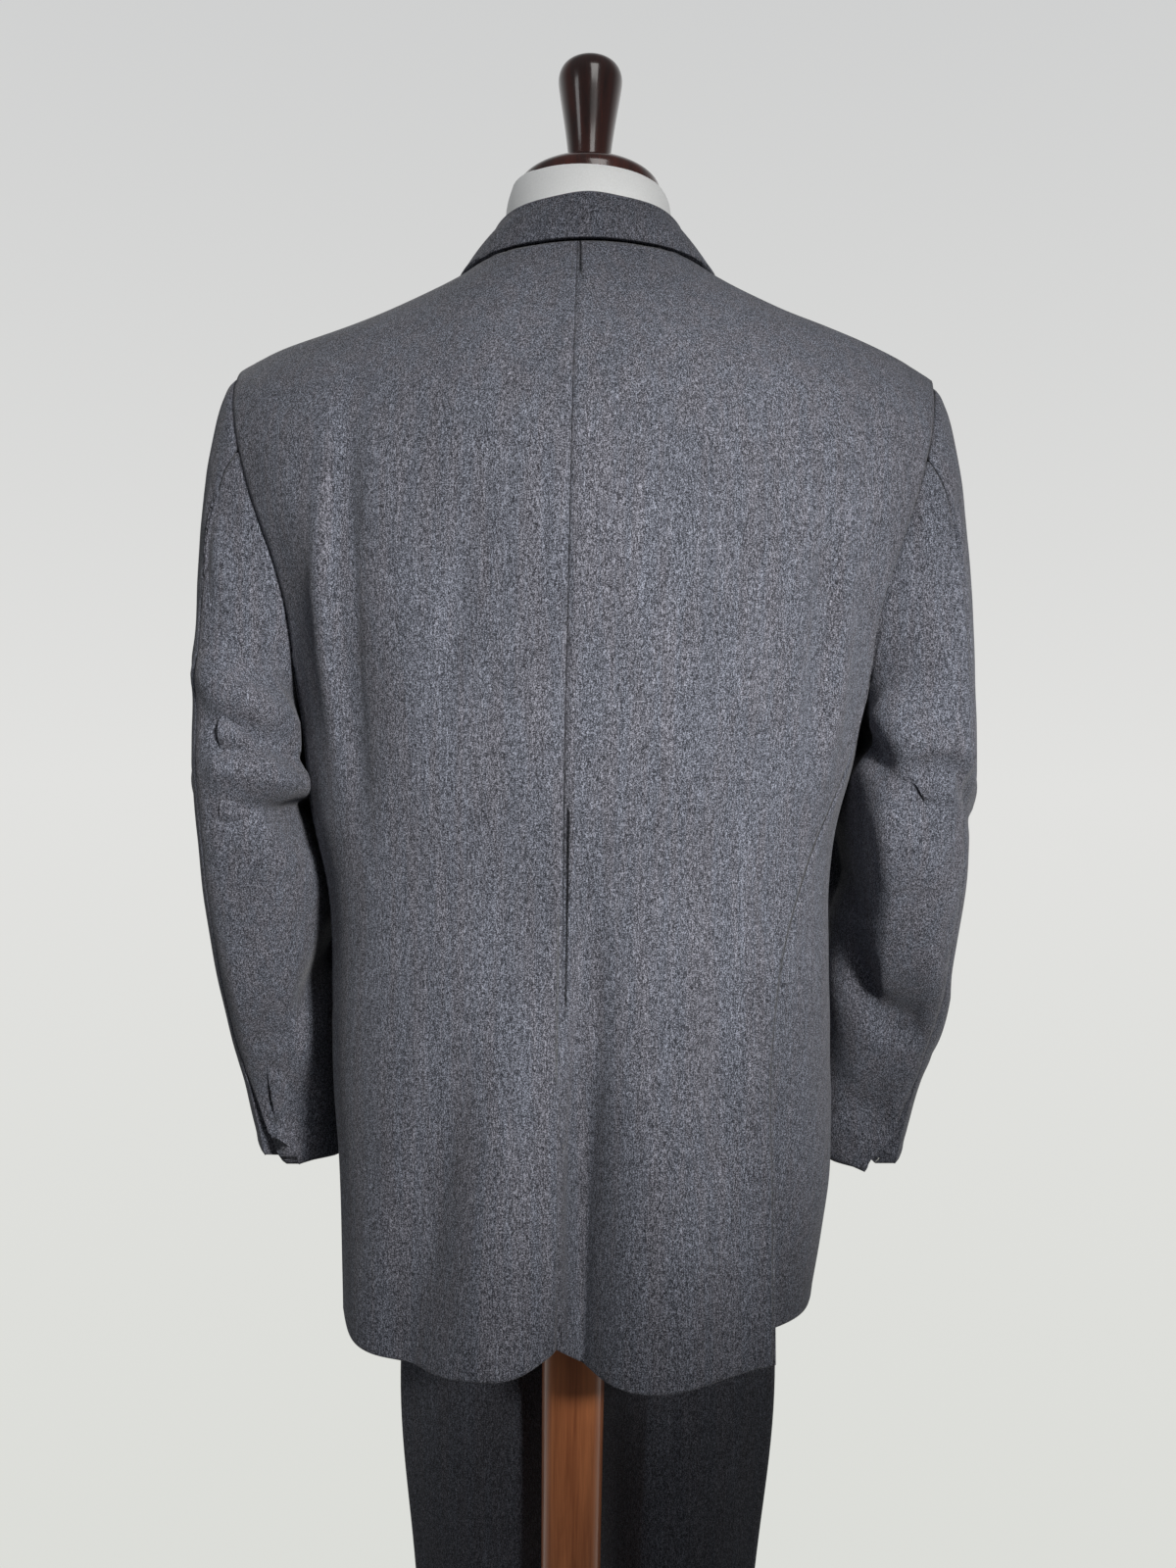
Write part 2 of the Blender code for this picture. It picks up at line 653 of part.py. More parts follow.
def collar(wool):
    """Stand inside, fold over the top, fall outside: one folded wall round the neck."""
    up = np.array([0.0, 0.0, 1.0])
    rows = []
    for i in range(-COLLAR_STEPS, COLLAR_STEPS + 1):
        c = 4.0 * abs(i) / COLLAR_STEPS
        side = -1 if i < 0 else 1
        fold, seam = (
            np.array([COLLAR[name + "_" + axis](c) for axis in "xyz"]) for name in ("fold", "seam")
        )
        for point in (fold, seam):
            point[0] *= side
            point[2] -= shoulder_fall(point[0], point[2])
        z = COLLAR["edge_z"](c)
        edge = lifted(side, h_toward(z, COLLAR["edge_x"](c), COLLAR["edge_y"](c)), z, WALL + 0.0007)
        outward = unit(np.array([edge[0] - fold[0], edge[1] - fold[1], 0.0]))
        shoulder = fold + outward * 0.0040 - up * 0.0050
        row = [seam, seam + (fold - seam) * 0.55 - outward * 0.0010]
        row += [fold - outward * 0.0036 - up * 0.0050, fold - outward * 0.0024 - up * 0.0012, fold]
        row += [fold + outward * 0.0025 - up * 0.0014, shoulder]
        for k in range(1, 5):
            share = k / 4
            belly = 0.0012 * math.sin(math.pi * share)
            row.append(shoulder + (edge - shoulder) * share + (outward + up) * belly)
        rows.append(row)
    points = np.array(rows)
    normals = grid_normals(points)
    if (normals[:, -3:] * points[:, -3:] * np.array([1.0, 1.0, 0.0])).sum() < 0:
        normals = -normals
    return wall("collar", points, normals, WALL, wool)


# Lapel: from the break up the roll line to the gorge; the peak points at the shoulder
LAPEL_ROWS = 11
LAPEL_COLUMNS = 6
GORGE_Z = 1.548
PEAK = (0.158, 1.524)


def lapel(label, side, wool):
    """The turned-back front, lying on the chest."""
    points, normals = [], []
    for i in range(LAPEL_ROWS + 1):
        t = i / LAPEL_ROWS
        z_roll = BREAK + 0.012 + (GORGE_Z - BREAK - 0.012) * t
        roll = np.array([roll_x(z_roll) + 0.001, z_roll])
        edge = np.array([roll_x(BREAK + 0.012) + 0.006, BREAK + 0.012])
        edge = edge + (np.array(PEAK) - edge) * t**0.93
        edge[0] += 0.010 * math.sin(math.pi * t)
        points.append([])
        normals.append([])
        for j in range(LAPEL_COLUMNS + 1):
            share = j / LAPEL_COLUMNS
            x, z = roll + (edge - roll) * share
            sag = max(0.0, 1 - abs(share - 0.6) / 0.4) * ease((t - 0.80) / 0.20)
            z -= 0.020 * sag
            h = h_at_front_x(z, x)
            point, normal = cloth_at(side, h, z)
            out = under_lap(side, point[0], z)
            bare = 1 - abs(out) / UNDER_DEPTH
            belly = 0.0026 * math.sin(math.pi * share) ** 0.8 * bare
            lift = LAPEL_LIFT[side] + 0.0012 * ease((z - 1.49) / 0.03)
            points[-1].append(point + normal * (out + lift + belly))
            normals[-1].append(normal)
    return wall("lapel_" + label, points, normals, WALL, wool)


def patch(name, side, corners, columns, rows, lift, thickness, wool, sag=0.0):
    """A flap or welt on the jacket: corners are (distance along the cloth, height), low edge first."""
    (h0, z0), (h1, z1), (h2, z2), (h3, z3) = corners
    points, normals = [], []
    for i in range(rows + 1):
        t = i / rows
        points.append([])
        normals.append([])
        for j in range(columns + 1):
            u = j / columns
            h = (h0 + (h1 - h0) * u) * (1 - t) + (h3 + (h2 - h3) * u) * t
            z = (z0 + (z1 - z0) * u) * (1 - t) + (z3 + (z2 - z3) * u) * t
            z -= sag * math.sin(math.pi * u) * (1 - t)
            point, normal = cloth_at(side, h, z)
            points[-1].append(point + normal * (under_lap(side, point[0], z) + lift + thickness))
            normals[-1].append(normal)
    return wall(name, points, normals, thickness, wool)


# Pocket flap and breast welt: x of the end near the front edge, length, height there, depth, how much
# higher the low edge lies at the other end, and how far over the jacket the cloth lies
FLAP = {"x": 0.100, "length": 0.140, "z": 0.972, "depth": 0.050, "rise": 0.006, "lift": 0.0012}
FLAP_SAG = 0.003
WELT = {"x": 0.098, "length": 0.095, "z": 1.350, "depth": 0.023, "rise": 0.012, "lift": 0.0010}
WELT_WALL = 0.0015


def strip_corners(strip):
    near = h_at_front_x(strip["z"], strip["x"])
    low = strip["z"]
    far, far_low = near - strip["length"], low + strip["rise"]
    depth = strip["depth"]
    return (far, far_low), (near, low), (near, low + depth), (far, far_low + depth)


def pocket_flap(label, side, wool):
    corners = strip_corners(FLAP)
    patch("pocket_flap_" + label, side, corners, 7, 2, FLAP["lift"], WALL, wool, sag=FLAP_SAG)


def breast_welt(wool):
    patch("breast_welt", LEFT, strip_corners(WELT), 5, 1, WELT["lift"], WELT_WALL, wool)


def turned(name, profile, origin, axis, segments, finish, smooth_angle=35):
    """A solid of revolution: profile rows are (distance along the axis, radius)."""
    axis = unit(np.asarray(axis, float))
    helper = np.array([1.0, 0.0, 0.0]) if abs(axis[0]) < 0.9 else np.array([0.0, 1.0, 0.0])
    across = unit(np.cross(axis, helper))
    other = np.cross(axis, across)
    vertices, faces, starts = [], [], []
    for along, radius in profile:
        starts.append(len(vertices))
        count = segments if radius > 1e-6 else 1
        for k in range(count):
            turn = 2 * math.pi * k / segments
            spoke = across * math.cos(turn) + other * math.sin(turn)
            vertices.append(np.asarray(origin) + axis * along + spoke * radius)
    ends = starts[1:] + [len(vertices)]
    for i in range(len(profile) - 1):
        low, high = range(starts[i], ends[i]), range(starts[i + 1], ends[i + 1])
        for k in range(segments):
            n = (k + 1) % segments
            if len(low) == 1:
                faces.append((low[0], high[k], high[n]))
            elif len(high) == 1:
                faces.append((low[k], low[n], high[0]))
            else:
                faces.append((low[k], low[n], high[n], high[k]))
    if ends[0] - starts[0] > 1:
        faces.append(tuple(range(starts[0], ends[0])))
    if ends[-1] - starts[-1] > 1:
        faces.append(tuple(range(starts[-1], ends[-1])))
    return mesh_object(name, vertices, faces, finish, smooth_angle)


# Buttons on the wearer's left front: x and z of each
BUTTON_PLACES = {
    "low_left": (0.055, 1.000),
    "low_right": (-0.055, 1.000),
    "waist_left": (0.055, 1.108),
    "waist_right": (-0.055, 1.108),
    "chest_left": (0.098, 1.212),
    "chest_right": (-0.098, 1.212),
}
# Turned shapes: distance along the axis, radius
BUTTON_PROFILE = [
    (0.0, 0.0090),
    (0.0012, 0.0106),
    (0.0024, 0.0110),
    (0.0034, 0.0102),
    (0.0034, 0.0084),
    (0.0026, 0.0068),
]


def button(label, place, horn):
    """A sewn-on button; the chest one on the wearer's right sits on the right front."""
    x, z = place
    side = RIGHT if label == "chest_right" else LEFT
    point, normal = cloth_at(side, h_at_front_x(z, abs(x) if side == RIGHT else x), z)
    lift = under_lap(side, point[0], z) + 0.0001
    return turned("button_" + label, BUTTON_PROFILE, point + normal * lift, normal, 12, horn)


# Trousers, wearer's left leg: outseam, front crease, inseam and back crease at each height.
# Above the crotch the inseam points part into the centre front and centre back.
TROUSER_SHIFT = -0.011
TROUSER_SET = 0.0132
WAIST = 1.150
WAISTBAND = 0.034
HEM_OF_LEG = 0.090
LEG = curves(
    table(
        "z out_x out_y fore_x fore_y front_x front_y back_x back_y hind_x hind_y",
        [
            (0.090, 0.1180, -0.105, 0.074, -0.174, 0.0200, -0.1120, 0.0200, -0.1120, 0.0480, -0.046),
            (0.350, 0.1240, -0.105, 0.076, -0.174, 0.0190, -0.1130, 0.0190, -0.1130, 0.0475, -0.045),
            (0.574, 0.1345, -0.104, 0.078, -0.174, 0.0185, -0.1150, 0.0185, -0.1150, 0.0480, -0.043),
            (0.744, 0.1510, -0.102, 0.080, -0.172, 0.0160, -0.1180, 0.0160, -0.1180, 0.0500, -0.043),
            (0.830, 0.1480, -0.096, 0.082, -0.168, 0.0080, -0.1280, 0.0080, -0.1280, 0.0580, -0.056),
            (0.880, 0.1475, -0.084, 0.083, -0.164, 0.0004, -0.1480, 0.0004, -0.1400, 0.0660, -0.074),
            (0.930, 0.1470, -0.070, 0.083, -0.158, 0.0004, -0.1610, 0.0004, -0.1430, 0.0740, -0.098),
            (1.000, 0.1450, -0.072, 0.083, -0.154, 0.0004, -0.1610, 0.0004, -0.1420, 0.0820, -0.125),
            (1.184, 0.1420, -0.094, 0.082, -0.155, 0.0004, -0.1590, 0.0004, -0.1425, 0.0800, -0.137),
        ],
    )
)
LEG_ROWS = 20
LEG_HALF = 4
LEG_SEAM_EASE = 0.0003
# How much each row of a leg, between hem and waist, rises towards the inseam and falls towards the outseam
LEG_SLANT = -0.012


def bowed(start, end, steps, bow, centre):
    """Points from start to end, bulging away from the centre."""
    along = end - start
    across = unit(np.array([along[1], -along[0]]))
    if np.dot(across, (start + end) / 2 - centre) < 0:
        across = -across
    return [
        start + along * k / steps + across * bow * 4 * (k / steps) * (1 - k / steps)
        for k in range(steps)
    ]


def leg_ring(side, z):
    """Closed section of a leg: outseam, back crease, centre back, centre front, front crease."""
    out, hind, back, front, fore = (
        np.array([LEG[name + "_x"](z), LEG[name + "_y"](z)])
        for name in ("out", "hind", "back", "front", "fore")
    )
    centre = (fore + hind) / 2
    flat = ease((z - 0.80) / 0.20)
    bow = 0.007 - 0.0055 * flat
    points = bowed(out, hind, LEG_HALF, bow, centre) + bowed(hind, back, LEG_HALF, bow * 0.6, centre)
    split = len(points)
    points += bowed(front, fore, LEG_HALF, bow * 0.6, centre) + bowed(fore, out, LEG_HALF, 0.007, centre)
    points[split][1] = min(points[split][1], back[1] - 0.0006)
    return [(side * p[0] + TROUSER_SHIFT, p[1] + TROUSER_SET, z) for p in points], back


def leg_pieces(label, side, wool):
    """Front and back of one leg, meeting at the outseam, the inseam and the creases."""
    back_rows, front_rows = [], []
    for i in range(LEG_ROWS + 1):
        level = HEM_OF_LEG + (WAIST - HEM_OF_LEG) * i / LEG_ROWS
        slant = LEG_SLANT if 0 < i < LEG_ROWS else 0.0
        points = []
        for j in range(4 * LEG_HALF):
            z = level + slant * (1 - abs(j / LEG_HALF - 2))
            ring, back = leg_ring(side, z)
            points.append(np.array(ring[j]))
            if j == 2 * LEG_HALF:
                inner = np.array([side * back[0] + TROUSER_SHIFT, back[1] + TROUSER_SET, z])
        back_rows.append(points[: 2 * LEG_HALF] + [inner])
        front_rows.append(points[2 * LEG_HALF :] + [points[0]])
    back_grid, front_grid = np.array(back_rows), np.array(front_rows)
    whole = np.concatenate([back_grid[:, :-1], front_grid[:, :-1]], axis=1)
    centres = whole.mean(axis=1, keepdims=True)
    normals = grid_normals(whole, closed=True, outward=whole - centres)
    half = 2 * LEG_HALF
    back_normals = np.concatenate([normals[:, :half], normals[:, half : half + 1]], axis=1)
    front_normals = np.concatenate([normals[:, half:], normals[:, :1]], axis=1)
    for name, grid, out in (("back", back_grid, back_normals), ("front", front_grid, front_normals)):
        points = eased_seams(grid, LEG_ROWS + 1, LEG_SEAM_EASE)
        wall("trouser_" + name + "_" + label, points, out, TROUSER_WALL, wool)


def waistband(wool):
    """Band round the top of both legs, held flat against the front of the form."""
    rows = []
    for z in (WAIST + 2 * SEAM, WAIST + WAISTBAND / 2, WAIST + WAISTBAND):
        left, back = leg_ring(LEFT, z)
        right, _ = leg_ring(RIGHT, z)
        half = 2 * LEG_HALF
        centre_back = (TROUSER_SHIFT, back[1] + TROUSER_SET, z)
        centre_front = (TROUSER_SHIFT, left[half][1], z)
        row = left[:half] + [centre_back] + right[half - 1 : 0 : -1] + [right[0]]
        row += right[: half : -1] + [centre_front] + left[half + 1 :]
        rows.append(row)
    points = np.array(rows)
    normals = grid_normals(points, closed=True, outward=points - points.mean(axis=1, keepdims=True))
    wall("waistband", points, normals, TROUSER_WALL, wool, closed=True)


# Dress form, the part of it that the suit hides included
FORM = curves(
    table(
        "z half_width back front",
        [
            (0.925, 0.118, 0.080, 0.070),
            (0.945, 0.138, 0.096, 0.086),
            (1.050, 0.144, 0.100, 0.106),
            (1.150, 0.146, 0.098, 0.1260),
            (1.184, 0.149, 0.098, 0.1275),
            (1.250, 0.158, 0.104, 0.132),
            (1.350, 0.176, 0.110, 0.138),
            (1.430, 0.196, 0.110, 0.130),
            (1.480, 0.208, 0.102, 0.114),
            (1.505, 0.205, 0.094, 0.102),
            (1.520, 0.192, 0.087, 0.092),
        ],
    )
)
FORM_LEVELS = (0.925, 0.945, 1.00, 1.06, 1.12, 1.15, 1.184, 1.25)
FORM_LEVELS += (1.30, 1.36, 1.42, 1.46, 1.49, 1.505, 1.520)
FORM_SEGMENTS = 28
# Top of the shoulders: levels that follow the jacket's from inside, how far above each the jacket's
# own outline is read, and how far inside it they lie at the sides, behind and before
SHOULDER_SECTIONS = (1.534, 1.546, 1.557)
PAD = 0.0033
PAD_SIDE, PAD_BACK, PAD_FRONT = 0.0015, 0.0055, 0.0240
NECK_SEAT = 1.6365
# Neck of the form: height, half width, depth behind and before, up to the cloth edge round the cap
NECK_SECTIONS = [
    (1.568, 0.0700, 0.0600, 0.0440),
    (1.580, 0.0580, 0.0565, 0.0480),
    (1.600, 0.0590, 0.0575, 0.0500),
    (1.620, 0.0603, 0.0585, 0.0540),
    (1.632, 0.0600, 0.0585, 0.0550),
]
NECK_FALL_END = 1.62
NECK_RIM = 0.0555
NECK_RIM_WALL = 0.0020
NECK_RIM_HEIGHT = 1.6447
NECK_RIM_RISE = (0.030, -0.100)


def form_section(z, half_width, back, front, n):
    section = []
    for k in range(FORM_SEGMENTS):
        phi = 2 * math.pi * k / FORM_SEGMENTS
        x = half_width * math.copysign(abs(math.sin(phi)) ** (2 / n), math.sin(phi))
        depth = back if math.cos(phi) > 0 else front
        y = depth * math.copysign(abs(math.cos(phi)) ** (2 / n), math.cos(phi))
        section.append((x, y, z))
    return section


def form_torso(cover):
    """The padded torso: shoulders just under the jacket's, then the neck, closed top and bottom."""
    sections = [
        form_section(z, FORM["half_width"](z), FORM["back"](z), FORM["front"](z), 2.1 if z < 1.5 else 1.8)
        for z in FORM_LEVELS
    ]
    for z in SHOULDER_SECTIONS:
        sections.append(
            form_section(
                z,
                BODY["half_width"](z + PAD) - PAD_SIDE,
                BODY["back"](z + PAD) - PAD_BACK,
                BODY["front"](z + PAD) - PAD_FRONT,
                BODY["squareness"](z + PAD),
            )
        )
    sections += [form_section(*row, 2.0) for row in NECK_SECTIONS]
    rise_x, rise_y = NECK_RIM_RISE
    inner_rim = NECK_RIM - NECK_RIM_WALL
    for radius, z in ((NECK_RIM, None), (inner_rim, None), (inner_rim, NECK_SEAT)):
        circle = form_section(0.0, radius, radius, radius, 2.0)
        sections.append([(x, y, z or NECK_RIM_HEIGHT + rise_x * x + rise_y * y) for x, y, _ in circle])
    vertices = [
        (x, y, z - (shoulder_fall(x, z) if z < NECK_FALL_END else 0.0))
        for section in sections
        for x, y, z in section
    ]
    faces = []
    for i in range(len(sections) - 1):
        for k in range(FORM_SEGMENTS):
            a, b = i * FORM_SEGMENTS + k, i * FORM_SEGMENTS + (k + 1) % FORM_SEGMENTS
            faces.append((a, b, b + FORM_SEGMENTS, a + FORM_SEGMENTS))
    faces.append(tuple(range(FORM_SEGMENTS)))
    faces.append(tuple(range(len(vertices) - FORM_SEGMENTS, len(vertices))))
    return mesh_object("form_torso", vertices, faces, cover)


CAP_PROFILE = [
    (0.0, 0.0520),
    (0.0080, 0.0528),
    (0.0120, 0.0510),
    (0.0170, 0.0440),
    (0.0220, 0.0320),
    (0.0255, 0.0165),
]
FINIAL_PROFILE = [
    (0.0, 0.0150),
    (0.0060, 0.0152),
    (0.0260, 0.0176),
    (0.0480, 0.0214),
    (0.0605, 0.0235),
    (0.0655, 0.0236),
    (0.0705, 0.0222),
    (0.0745, 0.0185),
    (0.0770, 0.0110),
    (0.0778, 0.0),
]
BASE_HEIGHT = 0.034
BASE_PROFILE = [
    (0.0, 0.180),
    (0.0, 0.188),
    (0.006, 0.192),
    (0.016, 0.190),
    (0.022, 0.180),
    (0.026, 0.150),
    (0.030, 0.060),
    (BASE_HEIGHT, 0.036),
]
POLE_PROFILE = [
    (0.0, 0.0290),
    (0.020, 0.0300),
    (0.045, 0.0240),
    (0.070, 0.0203),
    (0.550, 0.0205),
    (0.800, 0.0235),
    (0.8902, 0.0235),
]


def stand(wood):
    """Turned cap and handle on the neck, pole and round base under the form."""
    turned("neck_cap", CAP_PROFILE, (0, 0, NECK_SEAT + SEAM), (0, 0, 1), 28, wood)
    finial_foot = NECK_SEAT + CAP_PROFILE[-1][0] + 2 * SEAM
    turned("neck_finial", FINIAL_PROFILE, (0, 0, finial_foot), (0, 0, 1), 20, wood)
    turned("pole", POLE_PROFILE, (0, 0, BASE_HEIGHT + SEAM), (0, 0, 1), 20, wood)
    turned("base", BASE_PROFILE, (0, 0, 0), (0, 0, 1), 32, wood)


def clear_scene():
    for thing in list(bpy.data.objects):
        bpy.data.objects.remove(thing, do_unlink=True)


def main():
    clear_scene()
    wool = material("wool", (0.060, 0.064, 0.075), 0.85)
    trouser_wool = material("trouser_wool", (0.040, 0.042, 0.050), 0.85)
    horn = material("horn", (0.035, 0.030, 0.028), 0.35)
    cover = material("form_cover", (0.85, 0.86, 0.86), 0.70)
    wood = material("stained_wood", (0.180, 0.060, 0.030), 0.25)
    for label, side in SIDES.items():
        back_panel(label, side, wool)
        side_panel(label, side, wool)
        front_panel(label, side, wool)
        sleeve_pieces(label, side, wool)
        lapel(label, side, wool)
        pocket_flap(label, side, wool)
        leg_pieces(label, side, trouser_wool)
    waistband(trouser_wool)
    collar(wool)
    breast_welt(wool)
    for label, place in BUTTON_PLACES.items():
        button(label, place, horn)
    form_torso(cover)
    stand(wood)


main()
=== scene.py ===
"""Looks of a double-breasted suit on its dress form: cloth, buttons, wood, light and camera.

Metres, +Z up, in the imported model's frame: the suit faces -Y, the photograph is taken from +Y.
"""
import math

import bmesh
import bpy
import numpy as np
from mathutils import Matrix, Vector, bvhtree, kdtree


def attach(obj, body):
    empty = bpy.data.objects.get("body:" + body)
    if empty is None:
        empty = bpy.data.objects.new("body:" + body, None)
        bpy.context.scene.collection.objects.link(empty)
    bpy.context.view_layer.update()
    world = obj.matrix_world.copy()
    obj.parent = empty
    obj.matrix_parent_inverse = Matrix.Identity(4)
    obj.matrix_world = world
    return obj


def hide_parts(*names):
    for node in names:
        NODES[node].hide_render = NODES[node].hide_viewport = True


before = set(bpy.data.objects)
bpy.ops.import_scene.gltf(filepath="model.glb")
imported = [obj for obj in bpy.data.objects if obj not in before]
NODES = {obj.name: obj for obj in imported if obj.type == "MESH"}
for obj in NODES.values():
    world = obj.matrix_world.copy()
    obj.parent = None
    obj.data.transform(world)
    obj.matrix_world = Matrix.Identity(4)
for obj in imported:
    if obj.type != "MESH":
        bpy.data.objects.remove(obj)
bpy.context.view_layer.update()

PHOTO_SIZE = (1200, 1600)
FOCAL_PIXELS = 1202
CAMERA_PLACE = (-0.005, 0.850, 1.220)
CAMERA_ROLL = 0.76

SIDES = {"left": 1, "right": -1}
# A wall's edge stays sharp through the subdivision where it bends by more than SHARP, and a cut corner
# where it turns by more than CORNER. Two triangles make a quad where they bend by less than FLAT_PAIR.
SHARP = math.radians(66)
CORNER = math.radians(30)
FLAT_PAIR = math.radians(40)
# How much deeper the folds are pressed than their tables say, and the deepest on the body
FOLD_GAIN = 2.4
PRESS_LIMIT = 0.0040
# Longest edge across a wall's thickness
WALL_LIMIT = 0.0027
OUTER, INNER, RIM = 0, 1, 2
BORDER_WIDTHS = (0.0011, 0.0016)
SEAM_REACH = 0.0016
# A sleeve billows in by up to FILL_LIMIT and stays FILL_GAP clear of the jacket
FILL_LIMIT = 0.022
FILL_GAP = 0.0012
# How far the right leg swings in at its inseam
LEG_SWING = 0.0125
FLOOR_RADIUS = 0.93

# The wall that the photograph shows behind the suit, from below to above
WALL_TONES = [(0.22, (0.715, 0.725, 0.690)), (0.5, (0.760, 0.760, 0.745)), (0.78, (0.625, 0.630, 0.630))]

# Colour of the cloth's dark, middle and pale fibres
WOOL_TONES = ((0.012, 0.013, 0.016), (0.058, 0.060, 0.072), (0.270, 0.280, 0.325))


class NodeTree:
    """Short hand for building a node tree."""

    def __init__(self, tree):
        self.tree = tree

    def add(self, kind, **settings):
        node = self.tree.nodes.new(kind)
        for key, value in settings.items():
            setattr(node, key, value)
        return node

    def link(self, source, target):
        self.tree.links.new(source, target)

    def ramp(self, value, stops):
        node = self.add("ShaderNodeValToRGB")
        while len(node.color_ramp.elements) < len(stops):
            node.color_ramp.elements.new(0.5)
        for element, (at, colour) in zip(node.color_ramp.elements, stops):
            element.position = at
            element.color = (*colour, 1.0)
        self.link(value, node.inputs["Fac"])
        return node.outputs["Color"]

    def mix(self, low, high, factor, blend="MIX"):
        node = self.add("ShaderNodeMix", data_type="RGBA", blend_type=blend)
        for socket, value in ((node.inputs[0], factor), (node.inputs[6], low), (node.inputs[7], high)):
            if isinstance(value, bpy.types.NodeSocket):
                self.link(value, socket)
            elif isinstance(value, float):
                socket.default_value = value
            else:
                socket.default_value = (*value, 1.0)
        return node.outputs[2]

    def sum(self, *parts):
        """Weighted sum of values: each part is (value, weight)."""
        total = None
        for value, weight in parts:
            node = self.add("ShaderNodeMath", operation="MULTIPLY_ADD")
            self.link(value, node.inputs[0])
            node.inputs[1].default_value = weight
            node.inputs[2].default_value = 0.0
            if total is not None:
                self.link(total, node.inputs[2])
            total = node.outputs[0]
        return total

    def level(self, value, weight):
        """A value within -1 and 1 brought to 0 to 1."""
        node = self.add("ShaderNodeMath", operation="MULTIPLY_ADD")
        self.link(value, node.inputs[0])
        node.inputs[1].default_value = weight
        node.inputs[2].default_value = 0.5
        return node.outputs[0]


class Nodes(NodeTree):
    """A material of one shader, its patterns laid out in the object's own space."""

    def __init__(self, name):
        self.material = bpy.data.materials.new(name)
        self.material.use_nodes = True
        super().__init__(self.material.node_tree)
        self.shader = self.tree.nodes["Principled BSDF"]
        self.place = self.add("ShaderNodeTexCoord").outputs["Object"]

    def noise(self, scale, detail=2.0, roughness=0.5, distortion=0.0):
        node = self.add("ShaderNodeTexNoise")
        node.inputs["Scale"].default_value = 1.0
        node.inputs["Detail"].default_value = detail
        node.inputs["Roughness"].default_value = roughness
        node.inputs["Distortion"].default_value = distortion
        mapping = self.add("ShaderNodeMapping")
        mapping.inputs["Scale"].default_value = scale
        self.link(self.place, mapping.inputs["Vector"])
        self.link(mapping.outputs["Vector"], node.inputs["Vector"])
        return node.outputs["Fac"]

    def bump(self, height, distance, strength=1.0):
        node = self.add("ShaderNodeBump")
        node.inputs["Distance"].default_value = distance
        node.inputs["Strength"].default_value = strength
        self.link(height, node.inputs["Height"])
        self.link(node.outputs["Normal"], self.shader.inputs["Normal"])

    def set(self, **values):
        for key, value in values.items():
            self.shader.inputs[key.replace("_", " ")].default_value = value


def wool_material(name, shade):
    """Worsted melange: dark twill with pale fibre ends, drawn out in faint upright streaks of colour."""
    m = Nodes(name)
    fleck = m.noise((1500, 1500, 1350), 2.0, 0.70)
    thread = m.noise((1250, 1250, 300), 1.0, 0.55)
    grain = m.sum((fleck, 0.74), (thread, 0.26))
    # shade scales every tone; below 1 it makes a darker copy of the same cloth, painted shade
    dark, middle, light = (tuple(shade * c for c in colour) for colour in WOOL_TONES)
    cloth = m.ramp(grain, [(0.38, dark), (0.49, middle), (0.62, light)])
    streak = m.ramp(m.noise((130, 130, 5.0), 2.0, 0.6), [(0.42, (0.0,) * 3), (0.60, (1.0,) * 3)])
    tint = m.mix((0.975, 0.995, 1.030), (1.020, 0.990, 0.995), streak)
    cloth = m.mix(cloth, tint, 1.0, "MULTIPLY")
    stripe = m.ramp(m.noise((420, 420, 9.0), 1.0, 0.5), [(0.58, (0.97,) * 3), (0.72, (1.22,) * 3)])
    cloth = m.mix(cloth, stripe, 1.0, "MULTIPLY")
    # Large soft patches of lighter and darker cloth: painted shade standing in for the shading of wrinkles
    painted_wrinkle_shade = m.ramp(m.noise((14, 14, 9), 2.0, 0.5), [(0.30, (0.90,) * 3), (0.70, (1.08,) * 3)])
    m.link(m.mix(cloth, painted_wrinkle_shade, 1.0, "MULTIPLY"), m.shader.inputs["Base Color"])
    m.bump(grain, 0.00035, 0.8)
    m.set(Roughness=0.92, Sheen_Weight=0.10, Sheen_Roughness=0.5)
    m.shader.inputs["Specular IOR Level"].default_value = 0.15
    return m.material


def wood_material(name, dark, light, gloss, coat):
    """Stained turned wood: grain drawn out along the turning axis, under varnish."""
    m = Nodes(name)
    grain = m.noise((95, 95, 6.0), 5.0, 0.62, 0.6)
    pores = m.noise((620, 620, 24), 2.0, 0.6)
    colour = m.ramp(m.sum((grain, 0.75), (pores, 0.25)), [(0.34, dark), (0.62, light)])
    m.link(colour, m.shader.inputs["Base Color"])
    m.bump(m.sum((grain, 0.5), (pores, 0.5)), 0.00012, 0.5)
    m.set(Roughness=gloss, Coat_Weight=coat, Coat_Roughness=0.08)
    return m.material


def cotton_material(name, colour):
    """White knitted cover of the form."""
    m = Nodes(name)
    weave = m.noise((900, 900, 900), 2.0, 0.5)
    soft = m.noise((16, 16, 16), 3.0, 0.5)
    paler = tuple(min(c * 1.03, 1.0) for c in colour)
    darker = tuple(c * 0.95 for c in colour)
    cover = m.ramp(m.sum((weave, 0.5), (soft, 0.5)), [(0.35, darker), (0.60, paler)])
    m.link(cover, m.shader.inputs["Base Color"])
    m.bump(weave, 0.0002, 0.5)
    m.set(Roughness=0.85)
    return m.material


def horn_material(name):
    m = Nodes(name)
    cloud = m.noise((160, 160, 60), 4.0, 0.6, 0.8)
    colour = m.ramp(cloud, [(0.36, (0.012, 0.010, 0.010)), (0.66, (0.050, 0.036, 0.028))])
    m.link(colour, m.shader.inputs["Base Color"])
    m.bump(cloud, 0.0001, 0.3)
    m.set(Roughness=0.28)
    return m.material


def thread_material(name, colour):
    m = Nodes(name)
    twist = m.noise((2400, 2400, 2400), 1.0, 0.5)
    darker = tuple(c * 0.6 for c in colour)
    m.link(m.ramp(twist, [(0.3, darker), (0.7, colour)]), m.shader.inputs["Base Color"])
    m.bump(twist, 0.0001, 0.6)
    m.set(Roughness=0.8)
    return m.material


